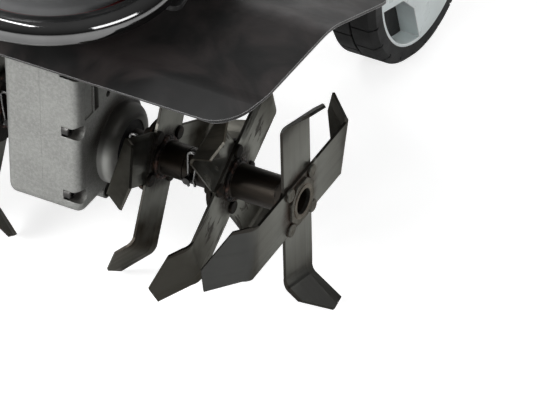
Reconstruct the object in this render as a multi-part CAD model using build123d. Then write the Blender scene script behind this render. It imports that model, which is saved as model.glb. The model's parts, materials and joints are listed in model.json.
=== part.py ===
from build123d import *
from math import atan2, cos, degrees, hypot, pi, radians, sin, tan
import os

# An electric garden tiller: a worm-drive gearbox with three tine stars on each side, an upright motor on top,
# a sheet guard over the tines, a tube bumper, two rear wheels on a swinging carriage and a folding handle.
# Millimetres and degrees. X runs along the tine shaft, the front faces -Y, the operator is at +Y, Z is up.
# Everything is drawn about the tine shaft's middle and set down on the floor at the end.

# Fits
slip_clearance = 0.1
running_clearance = 0.05
face_gap = 0.3

# Tine shaft and the tubes that slide on it
tube_bore_radius = 10.0
tube_wall = 4.0
shaft_reach = 118.0
tube_split = 97.0
tube_split_gap = 0.6
tube_end_proud = 0.5
tube_start_gap = 1.5
tube_mouth_radius = 10.5
tube_mouth_gap = 2.0

# Tine stars: where each pair of crossed strips meets, and how far its first strip leans to the rear
inner_star_x = 72.0
middle_star_x = 134.0
outer_star_x = 191.0
inner_star_turn = -65.0
middle_star_turn = -34.2
outer_star_turn = -2.6

# Tine strips
strip_width = 42.5
strip_thickness = 2.2
strip_arm = 70.0
bend_angle = 49.0
bend_skew = 17.0
bend_inner_radius = 10.0
tip_leading_edge = 29.8
tip_point = 34.3
tip_point_inset = 18.0
tip_trailing_edge = 12.3
strip_hole_clearance = 0.4

# Hub flanges, end collars, rivets, pins and clips
flange_radius = 30.0
flange_thickness = 4.0
collar_sides = 8
collar_across_flats = 36.0
collar_length = 2.5
weld_size = 4.0
rivet_radius = 4.0
rivet_head_radius = 5.5
rivet_head_height = 2.4
rivet_offset = 17.0
pin_radius = 3.0
pin_clearance = 0.15
pin_head_radius = 5.0
pin_head_height = 2.5
pin_tail = 7.0
inner_pin_x = 54.0
outer_pin_x = 105.0
clip_wire_radius = 1.1
clip_hole_clearance = 0.15
clip_stand_off = 1.4
clip_leg = 19.0
clip_tail = 7.0
clip_flare = 1.4
clip_loop_radius = 3.2

# Worm drive
gear_module = 2.0
wheel_teeth = 24
worm_pitch_radius = 8.0
pressure_angle = 20.0
gear_backlash = 1.6
wheel_face = 14.0
wheel_hub_radius = 17.0
wheel_hub_length = 18.0
wheel_seat_radius = 12.0
wheel_side_gap = 2.5
worm_turns = 4.5
worm_side_gap = 1.0

# Bearings and seals
bearing_start = 26.0
bearing_width = 12.0
bearing_radius = 21.0
bearing_shield_depth = 0.8
seal_width = 6.0
worm_bush_radius = 8.0
worm_bush_length = 12.0
worm_journal_radius = 5.0
worm_bearing_radius = 16.0
worm_bearing_width = 9.0
worm_bearing_bottom = 30.0
motor_journal_radius = 7.5
top_bearing_radius = 11.0
top_bearing_width = 7.0
top_journal_radius = 4.0

# Gearbox case
case_half_width = 33.0
case_wall = 10.0
case_rear_y = 28.0
case_foot_z = -36.0
case_floor = 5.0
case_top_z = 132.0
case_corner = 10.0
case_edge = 7.0
boss_radius = 33.0
boss_length = 12.0
boss_round = 8.0
bolt_radius = 3.0
bolt_head_radius = 5.0
bolt_head_height = 6.0
bolt_head_chamfer = 0.6
bolt_hole_clearance = 0.2
bolt_pocket_radius = 6.3
bolt_seat_x = 18.0
bolt_thread_length = 18.0
bolt_inset = 4.5
upper_bolt_z = 96.0
middle_bolt_z = 41.0
lower_bolt_z = -19.0
rear_bolt_z = 58.0
lug_radius = 8.0
lug_bolt_ring = 39.0
case_panel_from_front = 10.5
case_panel_width = 13.0
case_panel_depth = 1.2
case_rib_width = 1.5
case_slot_width = 6.5
case_slot_depth = 4.0
case_relief_bottom_z = 49.0
case_hole_y = -12.0
case_hole_z = 53.0
case_hole_radius = 3.2
case_hole_depth = 8.0
nut_height = 5.0
nut_corner_ratio = 1.8
round_head_ratio = 1.9
round_head_height = 3.0
round_head_round = 2.0
thread_end_gap = 1.0

# Tine guard
guard_half_width = 196.0
guard_thickness = 2.5
guard_front_y = -91.0
guard_front_drop = 12.0
guard_flat_front_y = -65.0
guard_flat_rear_y = 44.0
guard_knee_y = 136.0
guard_knee_drop = 32.0
guard_rear_y = 160.0
guard_rear_drop = 46.0
guard_front_bend = 24.0
guard_rear_bend = 90.0
guard_front_corner = 38.0
guard_rear_corner = 35.0

# Motor mount and hood
mount_pad_height = 12.0
mount_floor = 5.5
mount_radius = 63.0
mount_wall = 3.0
mount_bolt_inset = 8.5
mount_bolt_side = 5.5
mount_bolt_back = 15.0
mount_bolt_grip = 16.0
wing_reach = 105.0
wing_thickness = 4.0
wing_front_angle = 2.0
wing_rear_angle = 21.0
wing_corner = 7.0
wing_bolt_angle = 10.0
cheek_inner_x = 38.0
cheek_outer_x = 50.0
cheek_rear_y = 84.0
cheek_step = 2.0
cheek_bolt_front_y = 42.0
cheek_bolt_rear_y = 72.0
cheek_bolt_rise = 16.0
skirt_height = 12.0
skirt_radius = 71.0
shell_height = 72.0
shell_lip = 3.0
shell_radius = 80.0
shell_flare = 26.0
hood_wall = 3.0
cap_height = 44.0
cap_rim = 8.0
cap_flat_radius = 44.0
hood_boss_radius = 5.5
hood_boss_ring = 62.0
hood_screw_radius = 2.2
hood_screw_head_radius = 4.0
hood_screw_head = 3.0
hood_screw_bite = 14.0
screw_slot = 1.0
vent_count = 7
vent_width = 4.5
vent_length = 34.0
vent_pitch = 9.0
vent_start_angle = 8.0

# Motor
can_radius = 47.0
can_wall = 3.0
can_height = 124.0
fan_radius = 40.0
fan_lift = 12.0
fan_height = 18.0
fan_blades = 9
fan_plate = 2.0
fan_blade_thickness = 1.6
stator_lift = 52.0
stator_length = 46.0
stator_bore_radius = 28.0
pole_gap = 9.0
armature_radius = 27.2
armature_slots = 12
armature_slot_depth = 3.0
armature_slot_width = 2.0
winding_radius = 21.0
winding_overhang = 6.0
commutator_radius = 14.0
commutator_length = 13.0
commutator_groove = 0.6
commutator_clearance = 4.0
brush_gap = 0.2
brush_width = 6.5
brush_length = 16.0
brush_box_wall = 2.5
brush_box_gap = 3.0
end_plate_thickness = 8.0
rotor_shaft_radius = 6.5

# Bumper tube
bumper_radius = 92.0
bumper_tube_radius = 11.0
bumper_tube_wall = 1.6
bumper_height = 176.0
bumper_leg_y = 82.0
bumper_leg_bend = 32.0
foot_length = 62.0
foot_width = 28.0
foot_thickness = 3.0
foot_bolt_spread = 21.0

# Rear frame and wheel carriage
plate_thickness = 4.0
plate_rise = 2.0
plate_margin = 14.0
wheel_radius = 98.0
wheel_width = 45.0
wheel_outer_x = 120.0
axle_y = 359.0
axle_radius = 6.0
axle_proud = 5.0
pivot_y = 240.0
pivot_z = 92.0
pivot_radius = 5.0
lobe_radius = 42.0
arm_width = 30.0
arm_thickness = 4.0
arm_gap = 0.4
carriage_swing = 60.0
slot_ring = 30.5
stud_radius = 4.0
stud_clearance = 0.3
knob_radius = 20.0
knob_height = 16.0
knob_lobes = 6
knob_crown = 2.0
knob_edge = 1.5
brace_radius = 8.0
brace_along_arm = 100.0
hubcap_radius = 12.0
hubcap_height = 7.0

# Wheel rim and tread
rim_radius = 82.0
rim_wall = 2.5
rim_depth = 18.0
rim_recess = 8.0
rim_recess_radius = 26.0
rim_windows = 3
window_turn = -134.0
window_inner = 47.0
window_inner_half = 14.0
window_side = 64.5
window_side_half = 46.5
web_thickness = 5.0
hub_radius = 16.0
tread_shoulder = 5.0
tread_depth = 2.5
tread_blocks = 24
tread_groove = 1.8

# Handle
handle_tube_radius = 12.5
handle_tube_wall = 1.5
handle_angle = 52.0
handle_start_y = 112.0
handle_start_z = 150.0
handle_bolt_first = 18.0
handle_bolt_second = 74.0
lower_tube_length = 372.0
cross_bar_along = 236.0
cross_bar_radius = 9.0
cross_bar_bite = 16.0
fold_from_end = 14.0
fold_bolt_radius = 4.0
fold_gap = 2.0
upper_tail = 22.0
upper_straight = 130.0
upper_splay = 210.0
upper_length = 500.0
upper_bend = 80.0
handle_half_width = 215.0
grip_angle = 15.0
grip_run = 110.0
grip_bend = 62.0
grip_radius = 16.5
grip_inner_x = 62.0
grip_outer_x = 148.0
grip_ring_pitch = 8.0
grip_ring_width = 2.0
grip_ring_depth = 0.8
grip_edge = 1.5
hook_along = 420.0
hook_reach = 34.0
hook_width = 16.0
hook_wall = 4.0

# Switch box on the handle's cross bar
box_half_width = 48.0
box_front = 72.0
box_rear = 20.0
box_half_height = 23.0
box_wall = 3.0
box_corner = 9.0
box_screw_x = 38.0
box_screw_front = 62.0
box_screw_rear = 26.0
box_screw_radius = 1.8
box_screw_head = 2.5
box_post_radius = 4.5
bail_pivot = 48.0
bail_rod_radius = 4.0
bail_arm = 40.0
bail_bend = 9.0
bail_rest_angle = -78.0
bail_half_span = 138.0
bail_side_gap = 8.0
bail_clearance = 0.3
button_radius = 9.0
button_flange = 2.5
button_proud = 7.0
button_along = 30.0
button_clearance = 0.3
switch_half_width = 14.0
switch_depth = 20.0
switch_height = 14.0
switch_plunger = 3.0
inlet_half_width = 19.0
inlet_half_height = 13.0
inlet_length = 24.0
inlet_wall = 2.5
inlet_floor = 5.0
inlet_corner = 4.0
blade_length = 14.0
blade_spacing = 12.7
blade_thickness = 1.5
blade_width = 6.4

# Values that follow from the ones above
shaft_radius = tube_bore_radius - slip_clearance
tube_radius = tube_bore_radius + tube_wall
wheel_pitch_radius = gear_module * wheel_teeth / 2
centre_distance = wheel_pitch_radius + worm_pitch_radius
worm_lead = pi * gear_module
wheel_tip_radius = wheel_pitch_radius + gear_module
wheel_root_radius = wheel_pitch_radius - 1.25 * gear_module
worm_tip_radius = worm_pitch_radius + gear_module
worm_root_radius = worm_pitch_radius - 1.25 * gear_module
tooth_thickness = worm_lead / 2 - gear_backlash / 2
motor_y = -centre_distance
boss_end_x = case_half_width + boss_length
tube_start_x = boss_end_x + tube_start_gap
tube_end_x = outer_star_x + strip_thickness + collar_length + tube_end_proud
case_front_y = motor_y - worm_bearing_radius - case_wall
bush_bottom_z = case_foot_z + case_floor
bush_top_z = bush_bottom_z + worm_bush_length
worm_bottom_z = -worm_turns / 2 * worm_lead
worm_bearing_top = worm_bearing_bottom + worm_bearing_width
guard_top_z = case_top_z + guard_thickness
pad_top_z = guard_top_z + mount_pad_height
floor_top_z = pad_top_z + mount_floor
bumper_under_z = bumper_height - bumper_tube_radius
mount_top_z = bumper_under_z - face_gap
cheek_top_z = mount_top_z - cheek_step
skirt_top_z = mount_top_z + skirt_height
shell_top_z = skirt_top_z + shell_height
cap_top_z = shell_top_z + cap_height
can_top_z = floor_top_z + can_height
rotor_top_z = can_top_z + end_plate_thickness
top_bearing_bottom = rotor_top_z - top_bearing_width
cheek_bolts = [(y, guard_top_z + cheek_bolt_rise) for y in (cheek_bolt_front_y, cheek_bolt_rear_y)]
plate_inner_x = cheek_outer_x
plate_outer_x = plate_inner_x + plate_thickness
arm_inner_x = plate_outer_x + arm_gap
arm_outer_x = arm_inner_x + arm_thickness
lower_tube_x = plate_outer_x + handle_tube_radius + face_gap
upper_tube_x = lower_tube_x + 2 * handle_tube_radius + fold_gap
fold_along = lower_tube_length - fold_from_end
fold_y = handle_start_y + fold_along * cos(radians(handle_angle))
fold_z = handle_start_z + fold_along * sin(radians(handle_angle))
bolt_hole_radius = bolt_radius + bolt_hole_clearance
clip_y = -tube_radius - clip_wire_radius - clip_stand_off


# Shapes used throughout

def rod_x(radius, start, end, y=0.0, z=0.0):
    return Pos((start + end) / 2, y, z) * Rot(0, 90, 0) * Cylinder(radius, end - start)


def rod_z(radius, bottom, top, x=0.0, y=0.0):
    return Pos(x, y, (bottom + top) / 2) * Cylinder(radius, top - bottom)


def ring_x(outer, inner, start, end, y=0.0, z=0.0):
    return rod_x(outer, start, end, y, z) - rod_x(inner, start, end, y, z)


def ring_z(outer, inner, bottom, top, x=0.0, y=0.0):
    return rod_z(outer, bottom, top, x, y) - rod_z(inner, bottom, top, x, y)


def block(x0, x1, y0, y1, z0, z1):
    return Pos((x0 + x1) / 2, (y0 + y1) / 2, (z0 + z1) / 2) * Box(x1 - x0, y1 - y0, z1 - z0)


def slab_x(face, start, end):
    """Stand a face drawn in (Y, Z) across X, from start to end."""
    return Pos(start, 0, 0) * extrude(Plane.YZ * face, end - start)


def outline(*points):
    return make_face(Polyline(*points, close=True))


def swept(points, radius, bends, bore=0.0):
    """Bend a rod, or a tube with the given bore, along straight runs joined by arcs."""
    path = FilletPolyline(*points, radius=bends)
    section = Circle(radius)
    if bore:
        section -= Circle(bore)
    return sweep(Plane(path @ 0, z_dir=path % 0) * section, path=path)


def mirrored(shape):
    return mirror(shape, Plane.YZ)


def both_sides(shape):
    return [shape, mirrored(shape)]


def spun(profile, y=motor_y):
    """Turn a profile drawn in (X, Z) about the upright axis at the given Y."""
    return Pos(0, y, 0) * revolve(Plane.XZ * profile, Axis.Z)


def around_motor(shape, count):
    """Copies of a shape evenly spaced round the motor's axis."""
    return [Pos(0, motor_y, 0) * Rot(0, 0, 360 / count * i) * shape for i in range(count)]


# Tines

def tine_strip(tip_side):
    """A flat strip, one end turned to the other by half a turn, both tips bent to the same side."""
    half = strip_width / 2
    slope = tan(radians(bend_skew))
    across = Vector(0, -cos(radians(bend_skew)), sin(radians(bend_skew)))
    along = Vector(0, sin(radians(bend_skew)), cos(radians(bend_skew)))
    middle = slab_x(outline((-half, strip_arm + half * slope), (half, strip_arm - half * slope),
                            (half, -strip_arm - half * slope), (-half, half * slope - strip_arm)),
                    0, strip_thickness)
    bend_axis = Axis((strip_thickness + bend_inner_radius, 0, strip_arm), -across)
    bend_plane = Plane((strip_thickness / 2, 0, strip_arm), x_dir=across, z_dir=along)
    bend_line = strip_width / cos(radians(bend_skew))
    bend = revolve(bend_plane * Rectangle(bend_line, strip_thickness), bend_axis, bend_angle)

    def flat(side, out):
        """A point of the flat tip, from its place across the strip and its reach past the bend line."""
        reach = side * slope + out
        return (side * cos(radians(bend_skew)) + reach * sin(radians(bend_skew)),
                reach * cos(radians(bend_skew)) - side * sin(radians(bend_skew)))

    point_side = half - tip_point_inset
    tip_face = outline(flat(half, 0), flat(half, tip_leading_edge), flat(point_side, tip_point),
                       flat(-half, tip_trailing_edge), flat(-half, 0))
    tip_plane = Plane((0, 0, strip_arm), x_dir=across, z_dir=(-1, 0, 0))
    tip = extrude(tip_plane * tip_face, -strip_thickness).rotate(bend_axis, bend_angle)
    end = bend + tip
    strip = middle + end + Rot(180, 0, 0) * end
    if tip_side < 0:
        strip = mirror(strip, Plane.YZ.offset(strip_thickness / 2))
    strip -= rod_x(tube_radius + strip_hole_clearance, 0, strip_thickness)
    for y in (-rivet_offset, rivet_offset):
        for z in (-rivet_offset, rivet_offset):
            strip -= rod_x(rivet_radius + slip_clearance, 0, strip_thickness, y, z)
    return strip


def star_strips(star_x, turn):
    first = Pos(star_x - strip_thickness, 0, 0) * Rot(-turn, 0, 0) * tine_strip(1)
    second = Pos(star_x, 0, 0) * Rot(-turn - 90, 0, 0) * tine_strip(-1)
    return [first, second]


star_places = {"inner": (inner_star_x, inner_star_turn), "middle": (middle_star_x, middle_star_turn),
               "outer": (outer_star_x, outer_star_turn)}
tine_stars = {name: star_strips(x, turn) for name, (x, turn) in star_places.items()}
floor_z = min(strip.bounding_box().min.Z for star in tine_stars.values() for strip in star)
axle_z = floor_z + wheel_radius
arm_angle = degrees(atan2(axle_z - pivot_z, axle_y - pivot_y))
arm_length = hypot(axle_y - pivot_y, axle_z - pivot_z)


def star_rivets(star_x, turn):
    inner = star_x - strip_thickness - flange_thickness
    outer = star_x + strip_thickness
    rivets = []
    for y in (-rivet_offset, rivet_offset):
        for z in (-rivet_offset, rivet_offset):
            rivet = rod_x(rivet_radius, inner, outer, y, z)
            rivet += rod_x(rivet_head_radius, outer, outer + rivet_head_height, y, z)
            rivet += rod_x(rivet_head_radius, inner - rivet_head_height, inner, y, z)
            heads = rivet.edges().filter_by(GeomType.CIRCLE).group_by(Axis.X)
            rivet = fillet(heads[0] + heads[-1], rivet_head_height * 0.4)
            rivets.append(Rot(-turn, 0, 0) * rivet)
    return rivets


def weld_bead(start, end):
    """A cone of weld round the tube, wide at start and flush with the tube at end."""
    profile = outline((start, tube_bore_radius + tube_wall / 2), (start, tube_radius + weld_size),
                      (end, tube_radius), (end, tube_bore_radius + tube_wall / 2))
    return revolve(profile, Axis.X)


def hub_flange(star_x, turn):
    inner = star_x - strip_thickness - flange_thickness
    outer = star_x - strip_thickness
    flange = ring_x(flange_radius, tube_bore_radius + tube_wall / 2, inner, outer)
    for y in (-rivet_offset, rivet_offset):
        for z in (-rivet_offset, rivet_offset):
            flange -= Rot(-turn, 0, 0) * rod_x(rivet_radius + slip_clearance, inner, outer, y, z)
    return flange + weld_bead(inner, inner - weld_size)


def pin_hole(pin_x):
    reach = tube_radius + pin_tail
    return Pos(pin_x, 0, 0) * Rot(90, 0, 0) * Cylinder(pin_radius + pin_clearance, 2 * reach)


def inner_hub():
    tube = ring_x(tube_radius, tube_bore_radius, tube_start_x, tube_split)
    hub = tube + hub_flange(inner_star_x, inner_star_turn)
    hub += weld_bead(inner_star_x + strip_thickness, inner_star_x + strip_thickness + weld_size)
    return hub - pin_hole(inner_pin_x)


def outer_hub():
    hub = ring_x(tube_radius, tube_bore_radius, tube_split + tube_split_gap, tube_end_x)
    hub += hub_flange(middle_star_x, middle_star_turn)
    hub += weld_bead(middle_star_x + strip_thickness, middle_star_x + strip_thickness + weld_size)
    hub += hub_flange(outer_star_x, outer_star_turn)
    collar = Rot(0, 0, 180 / collar_sides - outer_star_turn) * RegularPolygon(
        collar_across_flats / 2, collar_sides, major_radius=False)
    collar -= Circle(tube_radius)
    collar_start = outer_star_x + strip_thickness
    hub += slab_x(collar, collar_start, collar_start + collar_length)
    hub -= rod_x(tube_mouth_radius, shaft_reach + tube_mouth_gap, tube_end_x)
    return hub - pin_hole(outer_pin_x)


def clevis_pin(pin_x):
    tail = -tube_radius - pin_tail
    head = tube_radius + face_gap
    shank = Pos(pin_x, (tail + head) / 2, 0) * Rot(90, 0, 0) * Cylinder(pin_radius, head - tail)
    cap = Rot(90, 0, 0) * Cylinder(pin_head_radius, pin_head_height)
    cap = Pos(pin_x, head + pin_head_height / 2, 0) * cap
    clip_hole = rod_z(clip_wire_radius + clip_hole_clearance, -pin_radius, pin_radius, pin_x, clip_y)
    return shank + cap - clip_hole


def hairpin_clip(pin_x):
    """A sprung wire clip: one straight leg through the pin, a round eye on top, one leg hugging the pin."""
    eye = 2 * clip_loop_radius
    side = pin_radius + clip_wire_radius + 0.3
    top = clip_leg + eye
    points = [(0, -clip_tail), (0, top), (eye + side - pin_radius, top), (eye, clip_leg * 0.55),
              (side, 0), (side + clip_flare, -clip_tail * 0.8)]
    wire = swept([(pin_x + x, clip_y, z) for x, z in points], clip_wire_radius,
                 [clip_loop_radius * 0.95, clip_loop_radius * 0.95, clip_loop_radius, clip_loop_radius])
    return wire


def output_shaft():
    seat_half = bearing_start - face_gap
    shaft = rod_x(shaft_radius, -shaft_reach, shaft_reach)
    shaft += rod_x(wheel_seat_radius, -seat_half, seat_half)
    for pin_x in (inner_pin_x, outer_pin_x):
        shaft -= pin_hole(pin_x)
        shaft -= pin_hole(-pin_x)
    return chamfer(shaft.edges().filter_by(GeomType.CIRCLE).group_by(Axis.X)[-1], 1.0)


# Worm drive

def tooth_face(root, tip, pitch, thickness):
    """A tooth section: root and tip distances, and its thickness where it meets the pitch line."""
    slope = tan(radians(pressure_angle))
    root_half = thickness / 2 + (pitch - root) * slope
    tip_half = thickness / 2 - (tip - pitch) * slope
    return [(root, -root_half), (tip, -tip_half), (tip, tip_half), (root, root_half)]


def worm_wheel():
    lead_slope = worm_lead / (2 * pi * worm_pitch_radius)
    root = wheel_root_radius - 0.6
    corners = tooth_face(root, wheel_tip_radius, wheel_pitch_radius, tooth_thickness)
    face = outline(*[(-out, side + wheel_face / 2 * lead_slope) for out, side in corners])
    tooth = extrude(Pos(-wheel_face / 2, 0, 0) * (Plane.YZ * face),
                    wheel_face * (1 + lead_slope ** 2) ** 0.5, dir=(1, 0, -lead_slope))
    wheel = rod_x(wheel_root_radius, -wheel_face / 2, wheel_face / 2)
    wheel += rod_x(wheel_hub_radius, -wheel_hub_length / 2, wheel_hub_length / 2)
    wheel += [Rot(360 / wheel_teeth * i, 0, 0) * tooth for i in range(wheel_teeth)]
    return wheel - rod_x(wheel_seat_radius + running_clearance, -wheel_hub_length, wheel_hub_length)


def worm_shaft():
    """The motor's shaft, with the worm cut on its lower end."""
    helix = Helix(worm_lead, worm_turns * worm_lead, worm_root_radius)
    corners = tooth_face(worm_root_radius - 0.4, worm_tip_radius, worm_pitch_radius, tooth_thickness)
    section = outline(*[(out - worm_root_radius, side) for out, side in corners])
    thread_plane = Plane(helix @ 0, x_dir=(1, 0, 0), z_dir=helix % 0)
    thread = sweep(thread_plane * section, path=helix, is_frenet=True)
    shaft = Pos(0, motor_y, worm_bottom_z) * Rot(0, 0, 270 - 180 * worm_turns) * thread
    sections = [(worm_journal_radius, bush_bottom_z, bush_top_z + face_gap),
                (worm_root_radius, bush_top_z + face_gap, worm_bearing_bottom - face_gap),
                (motor_journal_radius, worm_bearing_bottom - face_gap, worm_bearing_top + face_gap),
                (rotor_shaft_radius, worm_bearing_top + face_gap, top_bearing_bottom - face_gap),
                (top_journal_radius, top_bearing_bottom - face_gap, rotor_top_z)]
    for radius, bottom, top in sections:
        shaft += rod_z(radius, bottom, top, 0, motor_y)
    return shaft


def ball_bearing_x(start):
    ring = ring_x(bearing_radius, shaft_radius + running_clearance, start, start + bearing_width)
    shield = ring_x(bearing_radius - 3, shaft_radius + 4, start, start + bearing_shield_depth)
    return ring - shield - Pos(bearing_width - bearing_shield_depth, 0, 0) * shield


def shaft_seal():
    start = bearing_start + bearing_width + face_gap
    return ring_x(bearing_radius, shaft_radius + running_clearance, start, start + seal_width)


def rotor_bearings():
    bush = ring_z(worm_bush_radius, worm_journal_radius + running_clearance,
                  bush_bottom_z, bush_top_z, 0, motor_y)
    lower = ring_z(worm_bearing_radius, motor_journal_radius + running_clearance,
                   worm_bearing_bottom, worm_bearing_top, 0, motor_y)
    upper = ring_z(top_bearing_radius, top_journal_radius + running_clearance,
                   top_bearing_bottom, rotor_top_z, 0, motor_y)
    return [bush, lower, upper]


# Gearbox case

front_bolt_y = case_front_y + bolt_inset
rear_bolt_y = case_rear_y - bolt_inset
case_bolts = [(front_bolt_y, upper_bolt_z), (front_bolt_y, middle_bolt_z), (front_bolt_y, lower_bolt_z),
              (rear_bolt_y, upper_bolt_z), (rear_bolt_y, rear_bolt_z)]
lug_bolts = [(lug_bolt_ring * cos(radians(a)), lug_bolt_ring * sin(radians(a))) for a in (-114, -38)]
wheel_cavity_radius = wheel_tip_radius + wheel_side_gap
drum_radius = wheel_cavity_radius + case_wall
mount_bolt_x = case_half_width - mount_bolt_side
mount_bolts = [(x, y) for x in (-mount_bolt_x, mount_bolt_x)
               for y in (case_front_y + mount_bolt_inset, case_rear_y - mount_bolt_back)]


def case_body():
    """The right half before its bolts: drum round the worm wheel, column round the worm, one side boss."""
    column = Rectangle(case_rear_y - case_front_y, case_top_z)
    column = Pos((case_front_y + case_rear_y) / 2, case_top_z / 2) * column
    foot_rear_y = motor_y + worm_bush_radius + case_wall
    foot = Rectangle(foot_rear_y - case_front_y, -case_foot_z)
    foot = Pos((case_front_y + foot_rear_y) / 2, case_foot_z / 2) * foot
    section = Circle(drum_radius) + column + foot
    for y, z in lug_bolts:
        section += Pos(y, z) * Circle(lug_radius)
    section = fillet(section.vertices().sort_by_distance((case_front_y, case_foot_z))[0], case_corner)
    body = slab_x(section, 0, case_half_width)
    corner = (case_half_width, case_front_y, case_top_z / 2)
    body = fillet(body.edges().filter_by(Axis.Z).sort_by_distance(corner)[0], case_edge)
    boss = rod_x(boss_radius, case_half_width, boss_end_x)
    body += fillet(boss.edges().filter_by(GeomType.CIRCLE).group_by(Axis.X)[-1], boss_round)
    panel_y = case_front_y + case_panel_from_front
    slot_y = panel_y + case_panel_width + case_rib_width
    body -= block(case_half_width - case_panel_depth, case_half_width, panel_y, panel_y + case_panel_width,
                  case_relief_bottom_z, case_top_z)
    body -= block(case_half_width - case_slot_depth, case_half_width, slot_y, slot_y + case_slot_width,
                  case_relief_bottom_z, case_top_z)
    body -= rod_x(case_hole_radius, case_half_width - case_hole_depth, case_half_width,
                  case_hole_y, case_hole_z)
    body -= rod_x(wheel_cavity_radius, 0, wheel_hub_length / 2 + wheel_side_gap)
    body -= rod_x(wheel_seat_radius + wheel_side_gap, 0, bearing_start)
    body -= rod_x(bearing_radius + running_clearance, bearing_start, boss_end_x)
    body -= rod_z(worm_tip_radius + worm_side_gap, bush_top_z, worm_bearing_bottom, 0, motor_y)
    body -= rod_z(worm_bush_radius + running_clearance, bush_bottom_z, bush_top_z, 0, motor_y)
    body -= rod_z(worm_bearing_radius + running_clearance, worm_bearing_bottom, case_top_z, 0, motor_y)
    for x, y in mount_bolts:
        body -= rod_z(bolt_radius + running_clearance, case_top_z - mount_bolt_grip, case_top_z, x, y)
    return body


def case_right_half():
    half = case_body()
    for y, z in case_bolts + lug_bolts:
        half -= rod_x(bolt_pocket_radius, bolt_seat_x, boss_end_x, y, z)
        half -= rod_x(bolt_hole_radius, 0, bolt_seat_x, y, z)
    return half


def case_left_half():
    half = mirrored(case_body())
    for y, z in case_bolts + lug_bolts:
        half -= rod_x(bolt_radius + running_clearance, -bolt_thread_length, 0, y, z)
    return half


def cap_screw(length):
    """A socket screw with its head standing on Z = 0 and its shank going down."""
    head = rod_z(bolt_head_radius, 0, bolt_head_height)
    head = chamfer(head.edges().filter_by(GeomType.CIRCLE).group_by(Axis.Z)[-1], bolt_head_chamfer)
    socket = Pos(0, 0, bolt_head_height / 2) * extrude(RegularPolygon(bolt_radius, 6), bolt_head_height / 2)
    return head - socket + rod_z(bolt_radius, -length, 0)


def hex_nut(bore):
    """A nut hanging under Z = 0, for a thread of the given radius."""
    nut = Pos(0, 0, -nut_height) * extrude(RegularPolygon(nut_corner_ratio * bore, 6), nut_height)
    return nut - rod_z(bore + running_clearance, -nut_height, 0)


def gearbox_bolts():
    screw = cap_screw(bolt_seat_x + bolt_thread_length - thread_end_gap)
    return [Pos(bolt_seat_x, y, z) * Rot(0, 90, 0) * screw for y, z in case_bolts + lug_bolts]


# Tine guard

guard_slope = degrees(atan2(guard_knee_drop, guard_knee_y - guard_flat_rear_y))


def on_guard(x, y):
    """A frame on the guard's straight stretch behind the motor, its Z square to the sheet."""
    z = guard_top_z - tan(radians(guard_slope)) * (y - guard_flat_rear_y)
    return Pos(x, y, z) * Rot(-guard_slope, 0, 0)


foot_bolts = [on_guard(side * bumper_radius, bumper_leg_y) * Pos(0, step * foot_bolt_spread, 0)
              for side in (-1, 1) for step in (-1, 1)]


def tine_guard():
    """One bent sheet: a drooping front lip, a flat under the motor, and a long fall to the rear."""
    upper = FilletPolyline((guard_front_y, guard_top_z - guard_front_drop), (guard_flat_front_y, guard_top_z),
                           (guard_flat_rear_y, guard_top_z), (guard_knee_y, guard_top_z - guard_knee_drop),
                           (guard_rear_y, guard_top_z - guard_rear_drop),
                           radius=[guard_front_bend, guard_rear_bend, guard_rear_bend])
    section = make_face(offset(upper, guard_thickness, side=Side.RIGHT).edges())
    sheet = slab_x(section, -guard_half_width, guard_half_width)
    plan = Rectangle(2 * guard_half_width, guard_rear_y - guard_front_y)
    plan = Pos(0, (guard_front_y + guard_rear_y) / 2) * plan
    plan = fillet(plan.vertices().group_by(Axis.Y)[0], guard_front_corner)
    plan = fillet(plan.vertices().group_by(Axis.Y)[-1], guard_rear_corner)
    sheet &= extrude(plan, guard_top_z + 1)
    sheet -= rod_z(worm_bearing_radius, case_top_z - 1, guard_top_z + 1, 0, motor_y)
    for x, y in mount_bolts:
        sheet -= rod_z(bolt_hole_radius, case_top_z - 1, guard_top_z + 1, x, y)
    for place in foot_bolts:
        sheet -= place * rod_z(bolt_hole_radius, -2 * guard_thickness, guard_thickness)
    return sheet


def foot_screws():
    """Screws that hold the bumper's feet, each with a nut under the guard."""
    screw = Pos(0, 0, foot_thickness) * cap_screw(foot_thickness + guard_thickness + nut_height)
    pieces = []
    for place in foot_bolts:
        pieces.append(place * screw)
        pieces.append(place * (Pos(0, 0, -guard_thickness) * hex_nut(bolt_radius)))
    return pieces


# Bumper tube

wing_bolt_x = bumper_radius * cos(radians(wing_bolt_angle))
wing_bolt_y = motor_y + bumper_radius * sin(radians(wing_bolt_angle))


def bumper_tube():
    """A tube round the front of the motor, its legs turned down to feet on the guard."""
    front_y = motor_y - bumper_radius
    low = guard_top_z - guard_knee_drop
    points = [(bumper_radius, bumper_leg_y, low), (bumper_radius, bumper_leg_y, bumper_height),
              (bumper_radius, front_y, bumper_height), (-bumper_radius, front_y, bumper_height),
              (-bumper_radius, bumper_leg_y, bumper_height), (-bumper_radius, bumper_leg_y, low)]
    arc = 0.985 * bumper_radius
    tube = swept(points, bumper_tube_radius, [bumper_leg_bend, arc, arc, bumper_leg_bend],
                 bumper_tube_radius - bumper_tube_wall)
    for side in (-1, 1):
        foot = on_guard(side * bumper_radius, bumper_leg_y)
        tube -= foot * block(-foot_width, foot_width, -foot_length, foot_length,
                             -2 * foot_length, foot_thickness / 2)
        tube += foot * block(-foot_width / 2, foot_width / 2, -foot_length / 2, foot_length / 2,
                             0, foot_thickness)
        tube -= rod_z(bolt_radius + running_clearance, mount_top_z, bumper_under_z + 2 * bumper_tube_wall,
                      side * wing_bolt_x, wing_bolt_y)
    for place in foot_bolts:
        tube -= place * rod_z(bolt_hole_radius, -foot_thickness, 2 * foot_thickness)
    return tube


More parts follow.
